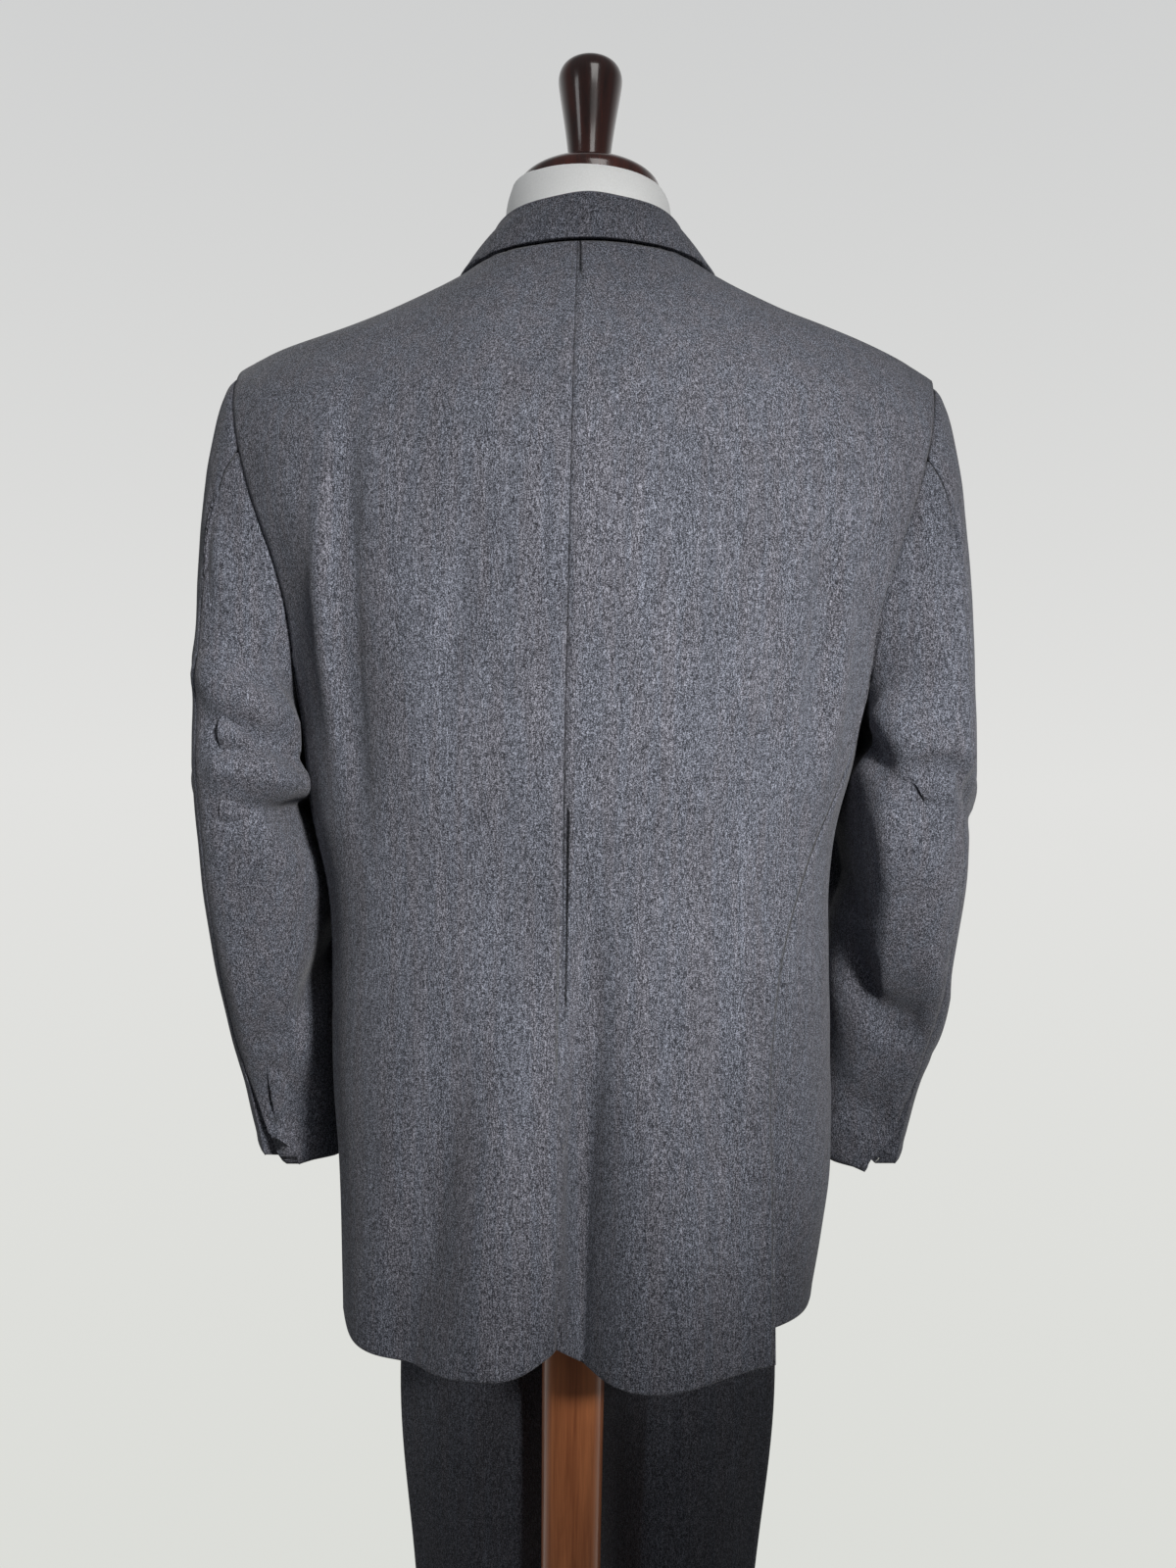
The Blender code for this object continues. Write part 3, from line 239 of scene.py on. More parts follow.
WOOL = wool_material("suit_wool", 1.0)
# Trousers' copy of the same wool at 0.62 of its brightness: painted shade for the shadow the jacket casts
# on them
WOOL_PAINTED_SHADE = wool_material("suit_wool_painted_shade", 0.62)
DARK_WOOD = wood_material("finial_wood", (0.016, 0.004, 0.003), (0.072, 0.014, 0.008), 0.22, 0.9)
POLE_WOOD = wood_material("pole_wood", (0.340, 0.105, 0.040), (0.660, 0.235, 0.090), 0.30, 0.55)
COVER = cotton_material("form_cover", (0.94, 0.95, 0.95))
HORN = horn_material("horn")
SEWING = thread_material("button_thread", (0.060, 0.062, 0.070))
BASTING = thread_material("basting_thread", (0.80, 0.80, 0.76))


def new_object(name, mesh):
    thing = bpy.data.objects.new(name, mesh)
    bpy.context.scene.collection.objects.link(thing)
    return thing


def quads_of(node):
    """The CAD node's mesh with its triangles joined to quads."""
    work = bmesh.new()
    work.from_mesh(NODES[node].data)
    bmesh.ops.remove_doubles(work, verts=work.verts, dist=1e-6)
    bmesh.ops.join_triangles(
        work, faces=work.faces, angle_face_threshold=FLAT_PAIR, angle_shape_threshold=math.pi
    )
    return work


def is_rim(face):
    """True for the narrow faces that join a wall's outer and inner face."""
    short = sum(edge.calc_length() < WALL_LIMIT for edge in face.edges)
    return short >= (2 if len(face.edges) > 3 else 1)


def crease(work, sharp):
    """Keeps the chosen edges sharp through the subdivision."""
    layer = work.edges.layers.float.new("crease_edge")
    for edge in work.edges:
        edge[layer] = 1.0 if sharp(edge) else 0.0


def mark_wall(node, work):
    """Tells the wall's outer face, inner face and rim apart, by material index."""
    rim = {face for face in work.faces if is_rim(face)}
    left, groups = set(work.faces) - rim, []
    while left:
        start = left.pop()
        group, open_faces = [start], [start]
        while open_faces:
            for edge in open_faces.pop().edges:
                for other in edge.link_faces:
                    if other in left:
                        left.remove(other)
                        group.append(other)
                        open_faces.append(other)
        groups.append(group)
    groups.sort(key=len, reverse=True)
    outer = max(groups[:2], key=lambda group: outwardness(node, group))
    for face in work.faces:
        face.material_index = RIM if face in rim else INNER
    for face in outer:
        face.material_index = OUTER

    def sharp(edge):
        kinds = {face.material_index for face in edge.link_faces}
        if len(kinds) > 1:
            return True
        return edge.calc_face_angle(0.0) > (CORNER if kinds == {RIM} else SHARP)

    crease(work, sharp)


def subdivided(name, work, levels):
    """The mesh after Catmull-Clark subdivision that keeps its creased edges."""
    mesh = bpy.data.meshes.new(name + "_base")
    work.to_mesh(mesh)
    work.free()
    thing = new_object(name, mesh)
    smooth = thing.modifiers.new("smooth", "SUBSURF")
    smooth.levels = smooth.render_levels = levels
    graph = bpy.context.evaluated_depsgraph_get()
    made = bpy.data.meshes.new_from_object(thing.evaluated_get(graph))
    thing.modifiers.clear()
    thing.data = made
    made.name = name
    bpy.data.meshes.remove(mesh)
    return thing


def add_borders(mesh):
    """Two narrow rings of faces along the outer face's border, so that a seam can be crisp."""
    work = bmesh.new()
    work.from_mesh(mesh)
    outer = [face for face in work.faces if face.material_index == OUTER]
    for width in BORDER_WIDTHS:
        ring = bmesh.ops.inset_region(
            work, faces=outer, thickness=width, depth=0.0, use_boundary=True, use_even_offset=False
        )["faces"]
        for face in ring:
            face.material_index = OUTER
            face.smooth = True
    work.to_mesh(mesh)
    work.free()


def arrays(mesh):
    points = np.empty(len(mesh.vertices) * 3)
    mesh.vertices.foreach_get("co", points)
    edges = np.empty(len(mesh.edges) * 2, int)
    mesh.edges.foreach_get("vertices", edges)
    return points.reshape(-1, 3), edges.reshape(-1, 2)


def tree_of(node):
    mesh = NODES[node].data
    corners = [vertex.co for vertex in mesh.vertices]
    return bvhtree.BVHTree.FromPolygons(corners, [face.vertices for face in mesh.polygons])


CLOTH = [
    name for name in NODES
    if not name.startswith(("form_", "neck_", "pole", "base", "button_"))
]
TREES = {name: tree_of(name) for name in list(CLOTH) + ["form_torso"]}


class Sheet:
    """The outer face of a cloth wall: its points, normals, and distances to seams and free edges."""

    def __init__(self, node, mesh):
        self.mesh = mesh
        self.points, edges = arrays(mesh)
        count = len(self.points)
        normals = np.zeros((count, 3))
        touched = np.zeros((count, 3), bool)
        for face in mesh.polygons:
            corners = list(face.vertices)
            touched[corners, face.material_index] = True
            if face.material_index == OUTER:
                normals[corners] += np.array(face.normal) * face.area
        self.outer = np.flatnonzero(touched[:, OUTER])
        self.rest = np.flatnonzero(~touched[:, OUTER])
        lengths = np.maximum(np.linalg.norm(normals, axis=1, keepdims=True), 1e-12)
        self.normals = normals / lengths
        border = np.flatnonzero(touched[:, OUTER] & touched[:, RIM])
        sewn = np.array([self.meets_another(node, self.points[i]) for i in border], bool)
        keep = touched[edges[:, 0], OUTER] & touched[edges[:, 1], OUTER]
        pairs = edges[keep]
        spans = np.linalg.norm(self.points[pairs[:, 0]] - self.points[pairs[:, 1]], axis=1)
        self.to_seam = self.spread(border[sewn] if len(border) else border, pairs, spans)[self.outer]
        self.to_free = self.spread(border[~sewn] if len(border) else border, pairs, spans)[self.outer]

    def meets_another(self, node, point):
        for other in CLOTH:
            if other == node:
                continue
            if TREES[other].find_nearest(Vector(point), SEAM_REACH)[0] is not None:
                return True
        return False

    def spread(self, seeds, pairs, spans):
        """Distance along the mesh from the seeds, up to a few centimetres."""
        reach = np.full(len(self.points), 0.05)
        reach[seeds] = 0.0
        for _ in range(12):
            np.minimum.at(reach, pairs[:, 0], reach[pairs[:, 1]] + spans)
            np.minimum.at(reach, pairs[:, 1], reach[pairs[:, 0]] + spans)
        return reach

    def move(self, amount, sideways):
        """Moves the wall by an amount along its normals and by a vector, its inner face along with it."""
        shift = np.zeros_like(self.points)
        shift[self.outer] = self.normals[self.outer] * amount[:, None] + sideways
        tree = kdtree.KDTree(len(self.outer))
        for i, index in enumerate(self.outer):
            tree.insert(self.points[index], i)
        tree.balance()
        for index in self.rest:
            shift[index] = shift[self.outer[tree.find(self.points[index])[1]]]
        moved = self.points + shift
        self.mesh.vertices.foreach_set("co", moved.ravel())
        self.mesh.update()


def bell(distance, width):
    return np.exp(-((distance / width) ** 2))


def near_path(flat, path):
    """Distance of 2-D points to a bent line, and how far along it the nearest place lies, 0 to 1."""
    path = np.array(path, float)
    steps = np.diff(path, axis=0)
    lengths = np.linalg.norm(steps, axis=1)
    before = np.concatenate([[0.0], np.cumsum(lengths)])
    best = np.full(len(flat), np.inf)
    along = np.zeros(len(flat))
    for start, step, length, passed in zip(path[:-1], steps, lengths, before):
        t = np.clip((flat - start) @ step / length**2, 0, 1)
        away = np.linalg.norm(flat - start - t[:, None] * step, axis=1)
        closer = away < best
        best[closer] = away[closer]
        along[closer] = (passed + t[closer] * length) / before[-1]
    return best, along


def folds(table, points, normals, facing, plane):
    """Height of the folds in a table, seen along an axis, on the cloth that faces that way."""
    seen = np.clip(normals @ np.array(facing) * 1.8, 0, 1)
    flat = points[:, plane]
    height = np.zeros(len(points))
    for depth, width, path in table:
        distance, along = near_path(flat, path)
        height += depth * bell(distance, width) * np.sin(np.pi * np.clip(along, 0.04, 0.96)) ** 0.8
    return height * seen * FOLD_GAIN


def ripple(points, size):
    """Slow unevenness of worn cloth, within 1."""
    x, y, z = (points / size).T
    return (
        np.sin(2.1 * x + 0.9 * z + 0.7 * np.sin(1.3 * z - y))
        + np.sin(1.7 * y - 1.1 * z + 1.9)
        + np.sin(2.9 * z + 1.3 * x + 0.8 * np.sin(2.2 * x + y))
    ) / 3


BACK, FRONT = (0, 1, 0), (0, -1, 0)
XZ, YZ = [0, 2], [1, 2]
# Folds seen from behind: height (below zero for a valley), half width, and the line's x and z
BACK_FOLDS = [
    (-0.0030, 0.0090, [(0.148, 1.475), (0.153, 1.38), (0.151, 1.28), (0.140, 1.19)]),
    (0.0022, 0.0080, [(0.166, 1.44), (0.168, 1.34), (0.158, 1.22)]),
    (-0.0012, 0.0100, [(0.066, 1.40), (0.078, 1.32), (0.090, 1.24)]),
    (-0.0016, 0.0080, [(-0.132, 1.455), (-0.133, 1.41)]),
    (-0.0012, 0.0080, [(-0.104, 1.375), (-0.106, 1.33)]),
    (-0.0030, 0.0090, [(-0.158, 1.40), (-0.156, 1.32), (-0.150, 1.24)]),
    (0.0020, 0.0090, [(-0.170, 1.38), (-0.166, 1.28), (-0.156, 1.20)]),
    (-0.0010, 0.0080, [(-0.098, 1.26), (-0.094, 1.17)]),
    (-0.0010, 0.0070, [(-0.119, 1.165), (-0.123, 1.125)]),
    (-0.0022, 0.0130, [(-0.008, 1.18), (-0.004, 1.02), (0.006, 0.86)]),
    (-0.0022, 0.0150, [(0.070, 1.07), (0.092, 0.96), (0.118, 0.84)]),
    (0.0014, 0.0150, [(0.040, 1.04), (0.052, 0.94), (0.064, 0.84)]),
    (-0.0016, 0.0110, [(-0.088, 1.10), (-0.090, 0.97)]),
    (0.0014, 0.0150, [(-0.052, 1.04), (-0.066, 0.94), (-0.078, 0.84)]),
]
# Drag lines from the buttons and the lapels' roll, similar ones for the side that is not seen
FRONT_FOLDS = [
    (-0.0018, 0.0090, [(0.060, 1.145), (0.105, 1.165), (0.150, 1.200)]),
    (-0.0016, 0.0090, [(-0.050, 1.140), (-0.100, 1.165), (-0.145, 1.205)]),
    (-0.0014, 0.0100, [(0.070, 1.020), (0.110, 1.035), (0.150, 1.060)]),
    (-0.0014, 0.0100, [(-0.060, 1.015), (-0.105, 1.035), (-0.148, 1.065)]),
    (-0.0020, 0.0100, [(0.142, 1.450), (0.146, 1.36), (0.138, 1.27)]),
    (-0.0020, 0.0100, [(-0.142, 1.450), (-0.146, 1.36), (-0.138, 1.27)]),
    (-0.0016, 0.0140, [(0.118, 0.95), (0.124, 0.90), (0.128, 0.85)]),
    (-0.0016, 0.0140, [(-0.112, 0.95), (-0.118, 0.90), (-0.124, 0.85)]),
]
SLEEVE_FOLDS_LEFT = [
    (0.0034, 0.0120, [(0.262, 1.300), (0.232, 1.275), (0.200, 1.256)]),
    (-0.0036, 0.0090, [(0.248, 1.262), (0.224, 1.245), (0.194, 1.222)]),
    (0.0030, 0.0110, [(0.246, 1.232), (0.222, 1.222), (0.200, 1.214)]),
    (-0.0048, 0.0080, [(0.238, 1.200), (0.218, 1.196), (0.192, 1.206)]),
    (0.0034, 0.0120, [(0.232, 1.176), (0.212, 1.160), (0.196, 1.130)]),
    (-0.0046, 0.0090, [(0.184, 1.140), (0.200, 1.090), (0.222, 1.040)]),
    (0.0022, 0.0110, [(0.240, 1.110), (0.236, 1.060), (0.240, 1.010)]),
    (-0.0020, 0.0090, [(0.252, 1.420), (0.242, 1.370), (0.236, 1.330)]),
    (-0.0018, 0.0100, [(0.214, 1.020), (0.222, 0.985), (0.234, 0.955)]),
]
SLEEVE_FOLDS_RIGHT = [
    (0.0046, 0.0130, [(-0.204, 1.290), (-0.230, 1.255), (-0.258, 1.220)]),
    (-0.0040, 0.0090, [(-0.196, 1.268), (-0.214, 1.246), (-0.232, 1.228)]),
    (-0.0056, 0.0080, [(-0.236, 1.244), (-0.256, 1.226), (-0.266, 1.200)]),
    (0.0032, 0.0100, [(-0.222, 1.215), (-0.230, 1.180), (-0.232, 1.146)]),
    (-0.0046, 0.0090, [(-0.192, 1.222), (-0.202, 1.170), (-0.215, 1.118)]),
    (-0.0044, 0.0090, [(-0.204, 1.128), (-0.224, 1.075), (-0.248, 1.028)]),
    (0.0026, 0.0110, [(-0.236, 1.120), (-0.256, 1.070), (-0.262, 1.020)]),
    (-0.0020, 0.0090, [(-0.252, 1.410), (-0.244, 1.365), (-0.236, 1.325)]),
    (-0.0018, 0.0100, [(-0.214, 1.015), (-0.226, 0.980), (-0.240, 0.950)]),
]
# Folds of either sleeve seen from the front and from outside, x or y and z for the left one
SLEEVE_FRONT_FOLDS = [
    (-0.0034, 0.0090, [(0.266, 1.215), (0.240, 1.196), (0.212, 1.190)]),
    (0.0030, 0.0110, [(0.264, 1.188), (0.240, 1.172), (0.212, 1.166)]),
    (-0.0030, 0.0090, [(0.262, 1.160), (0.236, 1.144), (0.210, 1.146)]),
    (-0.0024, 0.0100, [(0.246, 1.405), (0.240, 1.350), (0.226, 1.300)]),
]
SLEEVE_SIDE_FOLDS = [
    (-0.0028, 0.0100, [(0.034, 1.262), (0.000, 1.236), (-0.034, 1.230)]),
    (0.0026, 0.0110, [(0.036, 1.230), (0.000, 1.206), (-0.040, 1.200)]),
    (-0.0026, 0.0090, [(0.026, 1.180), (-0.010, 1.160), (-0.050, 1.168)]),
    (-0.0018, 0.0110, [(0.010, 1.440), (0.004, 1.380), (-0.004, 1.330)]),
]
# Folds of either leg, x for the left one: knee, and the break above the shoe
LEG_FOLDS = [
    (-0.0020, 0.0130, [(0.020, 0.560), (0.050, 0.535), (0.095, 0.548)]),
    (-0.0018, 0.0120, [(0.100, 0.470), (0.062, 0.448), (0.028, 0.456)]),
    (-0.0024, 0.0110, [(0.018, 0.175), (0.056, 0.150), (0.100, 0.160)]),
    (0.0020, 0.0120, [(0.020, 0.140), (0.060, 0.118), (0.098, 0.126)]),
    (-0.0016, 0.0160, [(0.074, 0.900), (0.070, 0.780), (0.066, 0.660)]),
]


def mirrored(table, side):
    return [(depth, width, [(side * x, z) for x, z in path]) for depth, width, path in table]


def gap_beside(side):
    """Width of the gap between a sleeve and the jacket's side over a grid of y and z, smoothed."""
    label = "left" if side > 0 else "right"
    gaps = np.zeros((len(GAP_Y), len(GAP_Z)))
    for i, y in enumerate(GAP_Y):
        for j, z in enumerate(GAP_Z):
            body = [
                hit[3] for hit in (
                    TREES[name + label].ray_cast(Vector((side * 0.40, y, z)), Vector((-side, 0, 0)), 0.40)
                    for name in ("side_", "back_", "front_")
                ) if hit[0] is not None
            ]
            arm = [
                hit[3] for hit in (
                    TREES[name + label].ray_cast(Vector((side * 0.05, y, z)), Vector((side, 0, 0)), 0.35)
                    for name in ("sleeve_top_", "sleeve_under_")
                ) if hit[0] is not None
            ]
            if body and arm:
                gaps[i, j] = max(min(arm) + 0.05 - (0.40 - min(body)), 0.0)
    for _ in range(2):
        padded = np.pad(gaps, 1, mode="edge")
        gaps = (
            padded[1:-1, 1:-1] * 2 + padded[:-2, 1:-1] + padded[2:, 1:-1]
            + padded[1:-1, :-2] + padded[1:-1, 2:]
        ) / 6
    return gaps


def grid_value(grid, y, z):
    """Value of a grid over GAP_Y and GAP_Z at these places, between its points."""
    u = np.clip((y - GAP_Y[0]) / (GAP_Y[1] - GAP_Y[0]), 0, len(GAP_Y) - 1.001)
    v = np.clip((z - GAP_Z[0]) / (GAP_Z[1] - GAP_Z[0]), 0, len(GAP_Z) - 1.001)
    i, j = u.astype(int), v.astype(int)
    p, q = u - i, v - j
    low = grid[i, j] * (1 - q) + grid[i, j + 1] * q
    high = grid[i + 1, j] * (1 - q) + grid[i + 1, j + 1] * q
    return low * (1 - p) + high * p


GAP_Y = np.linspace(-0.13, 0.09, 23)
GAP_Z = np.linspace(0.88, 1.34, 47)
GAPS = {side: gap_beside(side) for side in SIDES.values()}


def sleeve_fill(points, normals, side):
    """A sleeve billows in, from below the armhole to the cuff, until it lies against the jacket."""
    gap = np.clip(grid_value(GAPS[side], points[:, 1], points[:, 2]) - FILL_GAP, 0, FILL_LIMIT)
    lean = np.clip(-side * normals[:, 0] * 1.6 + 0.1, 0, 1)
    lean = lean * lean * (3 - 2 * lean)
    height = np.clip((points[:, 2] - 0.885) / 0.05, 0, 1) * np.clip((1.30 - points[:, 2]) / 0.06, 0, 1)
    shift = np.zeros((len(points), 3))
    shift[:, 0] = -side * gap * lean * height
    return shift


def round_sleeve(points, side):
    """Level directions away from the middle line of a sleeve, the same on either side of its seams."""
    along = (points[:, 2] - 0.94) / 0.46
    away = points - np.stack([side * (0.220 + 0.015 * along), -0.087 + 0.087 * along, points[:, 2]], axis=1)
    return away / np.linalg.norm(away, axis=1, keepdims=True)


def leg_fill(points, side):
    """The right leg swings in at its inseam, between seat and shin, up to the pole as seen from behind."""
    height = np.clip((points[:, 2] - 0.30) / 0.20, 0, 1) * np.clip((0.93 - points[:, 2]) / 0.06, 0, 1)
    inner = np.clip((points[:, 0] + 0.085) / 0.05, 0, 1)
    shift = np.zeros((len(points), 3))
    shift[:, 0] = LEG_SWING * height * inner * (side < 0)
    return shift


def relief(node, sheet):
    """Height of every seam, edge and fold of a piece, and how far its sleeve billows."""
    points, normals = sheet.points[sheet.outer], sheet.normals[sheet.outer]
    seam, free = sheet.to_seam, sheet.to_free
    depth = 0.0006 if node.startswith("sleeve_") else 0.0012
    height = -depth * bell(seam, 0.0016) + 0.0005 * bell(seam - 0.0065, 0.0040)
    height += -0.0004 * bell(free, 0.0012) + 0.0003 * bell(free - 0.0060, 0.0030)
    fade = np.clip(np.minimum(seam, free) / 0.012, 0, 1)
    height += 0.0004 * ripple(points, 0.026) * fade
    pressed = np.zeros(len(points))
    side = SIDES["left" if node.endswith("left") else "right"]
    sideways = np.zeros((len(points), 3))
    if node.startswith(("back_", "side_")):
        pressed += folds(BACK_FOLDS, points, normals, BACK, XZ)
    if node.startswith(("front_", "side_")):
        pressed += folds(FRONT_FOLDS, points, normals, FRONT, XZ)
    if node.startswith("sleeve_"):
        own = SLEEVE_FOLDS_LEFT if side > 0 else SLEEVE_FOLDS_RIGHT
        away = round_sleeve(points, side)
        pressed += folds(own, points, away, BACK, XZ)
        pressed += folds(mirrored(SLEEVE_FRONT_FOLDS, side), points, away, FRONT, XZ)
        pressed += folds(SLEEVE_SIDE_FOLDS, points, away, (side, 0, 0), YZ)
        sideways = sleeve_fill(points, normals, side)
    if node.startswith("trouser_"):
        for facing in (BACK, FRONT):
            pressed += folds(mirrored(LEG_FOLDS, side), points, normals, facing, XZ)
        sideways = leg_fill(points, side)
    if node.startswith("sleeve_"):
        pressed *= np.clip(free / 0.012, 0, 1) * (0.45 + 0.55 * np.clip(seam / 0.014, 0, 1))
    else:
        pressed = np.maximum(pressed * fade, -PRESS_LIMIT)
    return height + pressed, sideways


def dress(node, levels, flat):
    """Replaces a CAD cloth solid with a finely divided wall of the same form, folds pressed into it."""
    work = quads_of(node)
    mark_wall(node, work)
    piece = subdivided(node + "_cloth", work, levels)
    if not node.startswith("sleeve_"):
        add_borders(piece.data)
    sheet = Sheet(node, piece.data)
    sheet.move(*relief(node, sheet))
    piece.data.shade_smooth()
    piece.data.set_sharp_from_angle(angle=math.radians(58))
    piece.data.materials.clear()
    # Trousers take the darkened copy of the wool (painted shade), all other pieces the plain wool
    for _ in (OUTER, INNER, RIM):
        piece.data.materials.append(WOOL_PAINTED_SHADE if node.startswith("trouser_") else WOOL)
    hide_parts(node)
    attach(piece, "root")
    width, length, share = flat


def outwardness(node, group):
    """Above zero if these faces look away from the body, arm or leg that the cloth goes round."""
    axis = Vector((*AXES.get(node, (0.0, 0.0)), 0.0))
    total = 0.0
    for face in group:
        away = face.calc_center_median() - axis
        away.z = 0.0
        total += face.normal.dot(away) * face.calc_area()
    return total


AXES = {"waistband": (-0.011, -0.125)}
for _label, _side in SIDES.items():
    for _part in ("top", "under"):
        AXES["sleeve_%s_%s" % (_part, _label)] = (_side * 0.236, -0.02)
    for _part in ("back", "front"):
        AXES["trouser_%s_%s" % (_part, _label)] = (_side * 0.070 - 0.011, -0.105)


# Cut pieces: levels of subdivision, then the flat width, length and share of that rectangle
PIECES = {
    "back": (3, (0.240, 0.755, 0.87)),
    "side": (3, (0.175, 0.430, 0.86)),
    "front": (3, (0.360, 0.745, 0.785)),
    "sleeve_top": (3, (0.205, 0.600, 0.78)),
    "sleeve_under": (3, (0.160, 0.500, 0.84)),
    "lapel": (3, (0.170, 0.440, 0.41)),
    "pocket_flap": (3, (0.145, 0.055, 0.97)),
    "trouser_back": (2, (0.205, 1.060, 0.86)),
    "trouser_front": (2, (0.205, 1.060, 0.86)),
}


def turned(node, levels, finish):
    """A smooth copy of a turned or padded CAD node."""
    work = quads_of(node)
    crease(work, lambda edge: edge.calc_face_angle(0.0) > SHARP)
    piece = subdivided(node + "_smooth", work, levels)
    piece.data.shade_smooth()
    piece.data.set_sharp_from_angle(angle=math.radians(58))
    piece.data.materials.clear()
    piece.data.materials.append(finish)
    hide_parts(node)
    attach(piece, "root")


def camera():
    data = bpy.data.cameras.new("camera")
    data.sensor_fit = "AUTO"
    data.sensor_width = data.sensor_height = 36.0
    data.lens = 36.0 * FOCAL_PIXELS / PHOTO_SIZE[1]
    data.clip_start = 0.05
    thing = new_object("camera", data)
    thing.location = CAMERA_PLACE
    facing_front = Matrix(((-1, 0, 0), (0, 0, 1), (0, 1, 0)))
    roll = Matrix.Rotation(math.radians(CAMERA_ROLL), 3, "Z")
    thing.rotation_euler = (facing_front @ roll).to_euler()
    bpy.context.scene.camera = thing


def area_light(name, place, target, size, power, colour=(1, 1, 1)):
    data = bpy.data.lights.new(name, "AREA")
    data.shape = "RECTANGLE"
    data.size, data.size_y = size
    data.energy = power
    data.color = colour
    thing = new_object(name, data)
    thing.location = place
    thing.rotation_euler = (Vector(target) - Vector(place)).to_track_quat("-Z", "Y").to_euler()


def spot_light(name, place, target, angle, power, colour=(1, 1, 1)):
    data = bpy.data.lights.new(name, "SPOT")
    data.spot_size = math.radians(angle)
    data.spot_blend = 1.0
    data.shadow_soft_size = 0.12
    data.energy = power
    data.color = colour
    thing = new_object(name, data)
    thing.location = place
    thing.rotation_euler = (Vector(target) - Vector(place)).to_track_quat("-Z", "Y").to_euler()
    thing.scale = (1.15, 1.0, 1.0)


def studio():
    spot_light("back_light", (-0.66, 1.50, 1.68), (0.005, 0.10, 1.245), 33.0, 165.0, (1.0, 0.99, 0.97))
    area_light("key", (-0.30, 1.15, 2.20), (0, 0, 1.10), (0.5, 0.5), 2.5, (1.0, 0.99, 0.97))
    area_light("fill", (1.4, 1.2, 1.7), (0, 0, 1.3), (0.4, 1.0), 2.6, (0.97, 0.985, 1.0))
    world = bpy.data.worlds.new("studio")
    world.use_nodes = True
    w = NodeTree(world.node_tree)
    background = w.tree.nodes["Background"]
    split = w.add("ShaderNodeSeparateXYZ")
    w.link(w.add("ShaderNodeTexCoord").outputs["Generated"], split.inputs[0])
    up = w.level(split.outputs["Z"], 0.5)
    ahead = w.level(split.outputs["Y"], -0.5)
    wall = w.ramp(up, WALL_TONES)
    room = w.ramp(up, [(0.30, (0.04, 0.04, 0.04)), (0.80, (0.165, 0.169, 0.173))])
    cone = w.ramp(ahead, [(0.50, (0.0,) * 3), (0.87, (1.0,) * 3)])
    w.link(w.mix(room, wall, cone), background.inputs["Color"])
    bpy.context.scene.world = world
    bpy.context.scene.view_settings.view_transform = "Standard"
    m = Nodes("floor")
    tone = m.noise((3, 3, 3), 3.0, 0.5)
    colour = m.ramp(tone, [(0.3, (0.36, 0.36, 0.355)), (0.7, (0.40, 0.40, 0.395))])
    m.link(colour, m.shader.inputs["Base Color"])
    m.set(Roughness=0.8)
    work = bmesh.new()
    bmesh.ops.create_circle(work, cap_ends=True, segments=128, radius=FLOOR_RADIUS)
    mesh = bpy.data.meshes.new("floor")
    work.to_mesh(mesh)
    work.free()
    mesh.materials.append(m.material)
    floor = new_object("floor", mesh)
    floor.location.z = -0.0005


def dress_suit():
    for label in SIDES:
        for kind, (levels, flat) in PIECES.items():
            dress(kind + "_" + label, levels, flat)
    dress("collar", 3, (0.085, 0.470, 0.74))
    dress("breast_welt", 3, (0.098, 0.025, 0.97))
    dress("waistband", 2, (0.640, 0.036, 0.99))


def finish_nodes():
    """The form, its stand and the buttons."""
    turned("form_torso", 2, COVER)
    for node in ("neck_cap", "neck_finial", "pole", "base"):
        turned(node, 2, POLE_WOOD if node == "pole" else DARK_WOOD)
    for node in [name for name in NODES if name.startswith("button_")]:
        turned(node, 1, HORN)


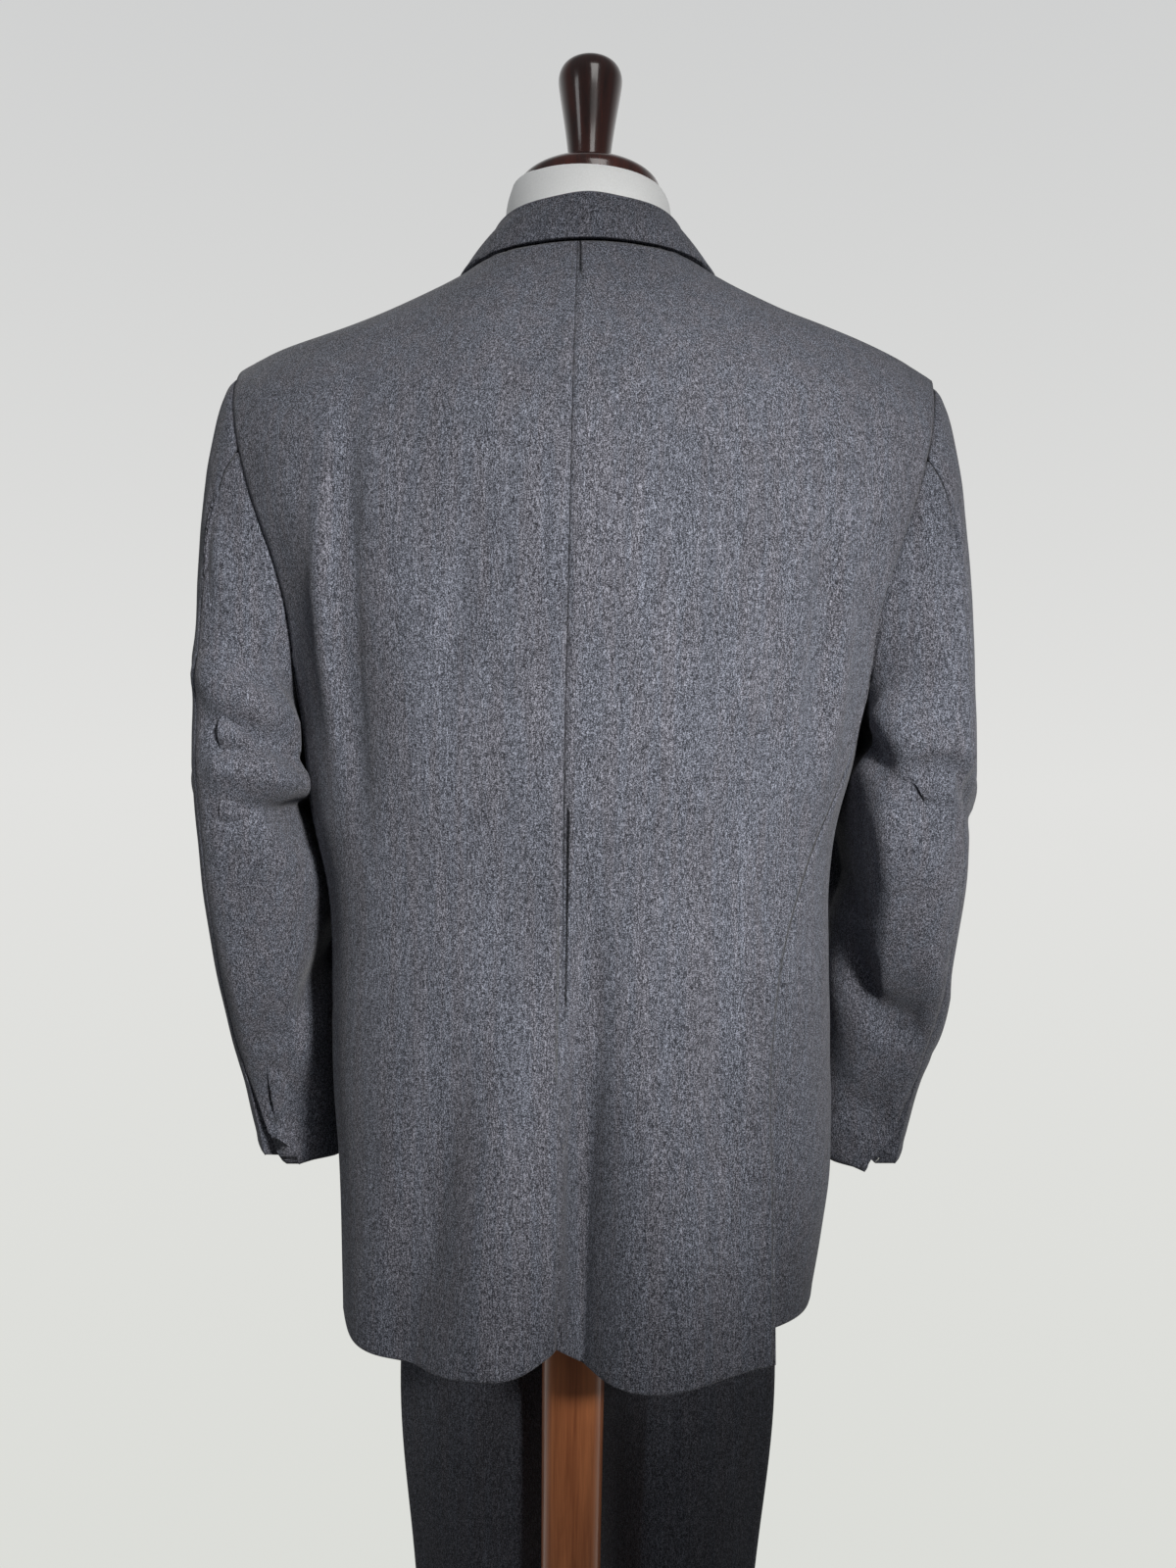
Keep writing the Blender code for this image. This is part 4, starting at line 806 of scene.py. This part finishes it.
def tube(name, points, radius, finish):
    """A short length of thread along points."""
    points = [Vector(point) for point in points]
    work = bmesh.new()
    rings = []
    for i, point in enumerate(points):
        along = (points[min(i + 1, len(points) - 1)] - points[max(i - 1, 0)]).normalized()
        across = along.cross(Vector((0.3, 0.5, 0.8))).normalized()
        over = along.cross(across)
        rings.append([
            work.verts.new(point + (across * math.cos(t) + over * math.sin(t)) * radius)
            for t in (math.tau * k / 8 for k in range(8))
        ])
    for low, high in zip(rings[:-1], rings[1:]):
        for k in range(8):
            work.faces.new((low[k], low[k - 1], high[k - 1], high[k]))
    work.faces.new(rings[0])
    work.faces.new(rings[-1][::-1])
    bmesh.ops.recalc_face_normals(work, faces=work.faces)
    mesh = bpy.data.meshes.new(name)
    work.to_mesh(mesh)
    work.free()
    mesh.shade_smooth()
    mesh.materials.append(finish)
    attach(new_object(name, mesh), "root")


def laid_on(tree, start, end, facing, lift, steps=8):
    """Points of a stitch from start to end, on the surface met when looking against facing."""
    found = []
    for k in range(steps + 1):
        t = k / steps
        place = Vector(start).lerp(Vector(end), t) + Vector(facing) * 0.05
        hit = tree.ray_cast(place, -Vector(facing), 0.10)
        if hit[0] is None:
            return []
        found.append(hit[0] + Vector(facing) * (lift * math.sin(math.pi * t) ** 0.5 - 0.0003))
    return found


def button_threads():
    """Two crossed stitches on every button."""
    for node in [name for name in NODES if name.startswith("button_")]:
        points, _ = arrays(NODES[node].data)
        centre = (points.min(axis=0) + points.max(axis=0)) / 2
        tree = tree_of(node)
        for turn in (1, -1):
            reach = np.array([0.0019, 0.0, 0.0019 * turn])
            path = laid_on(tree, centre - reach, centre + reach, FRONT, 0.0008)
            if path:
                tube("thread_%s_%d" % (node, turn + 1), path, 0.00045, SEWING)


def cuff_basting():
    """White tacking left in beside each cuff's vent."""
    for label, side in SIDES.items():
        for k in range(3):
            low = (side * (0.2225 - 0.004 * k), 0.0, 0.9415 + 0.0035 * k)
            high = (side * (0.2250 - 0.004 * k), 0.0, 0.9450 + 0.0035 * k)
            path = laid_on(TREES["sleeve_under_" + label], low, high, BACK, 0.0009)
            if path:
                tube("basting_%s_%d" % (label, k), path, 0.00028, BASTING)


camera()
studio()
dress_suit()
finish_nodes()
button_threads()
cuff_basting()
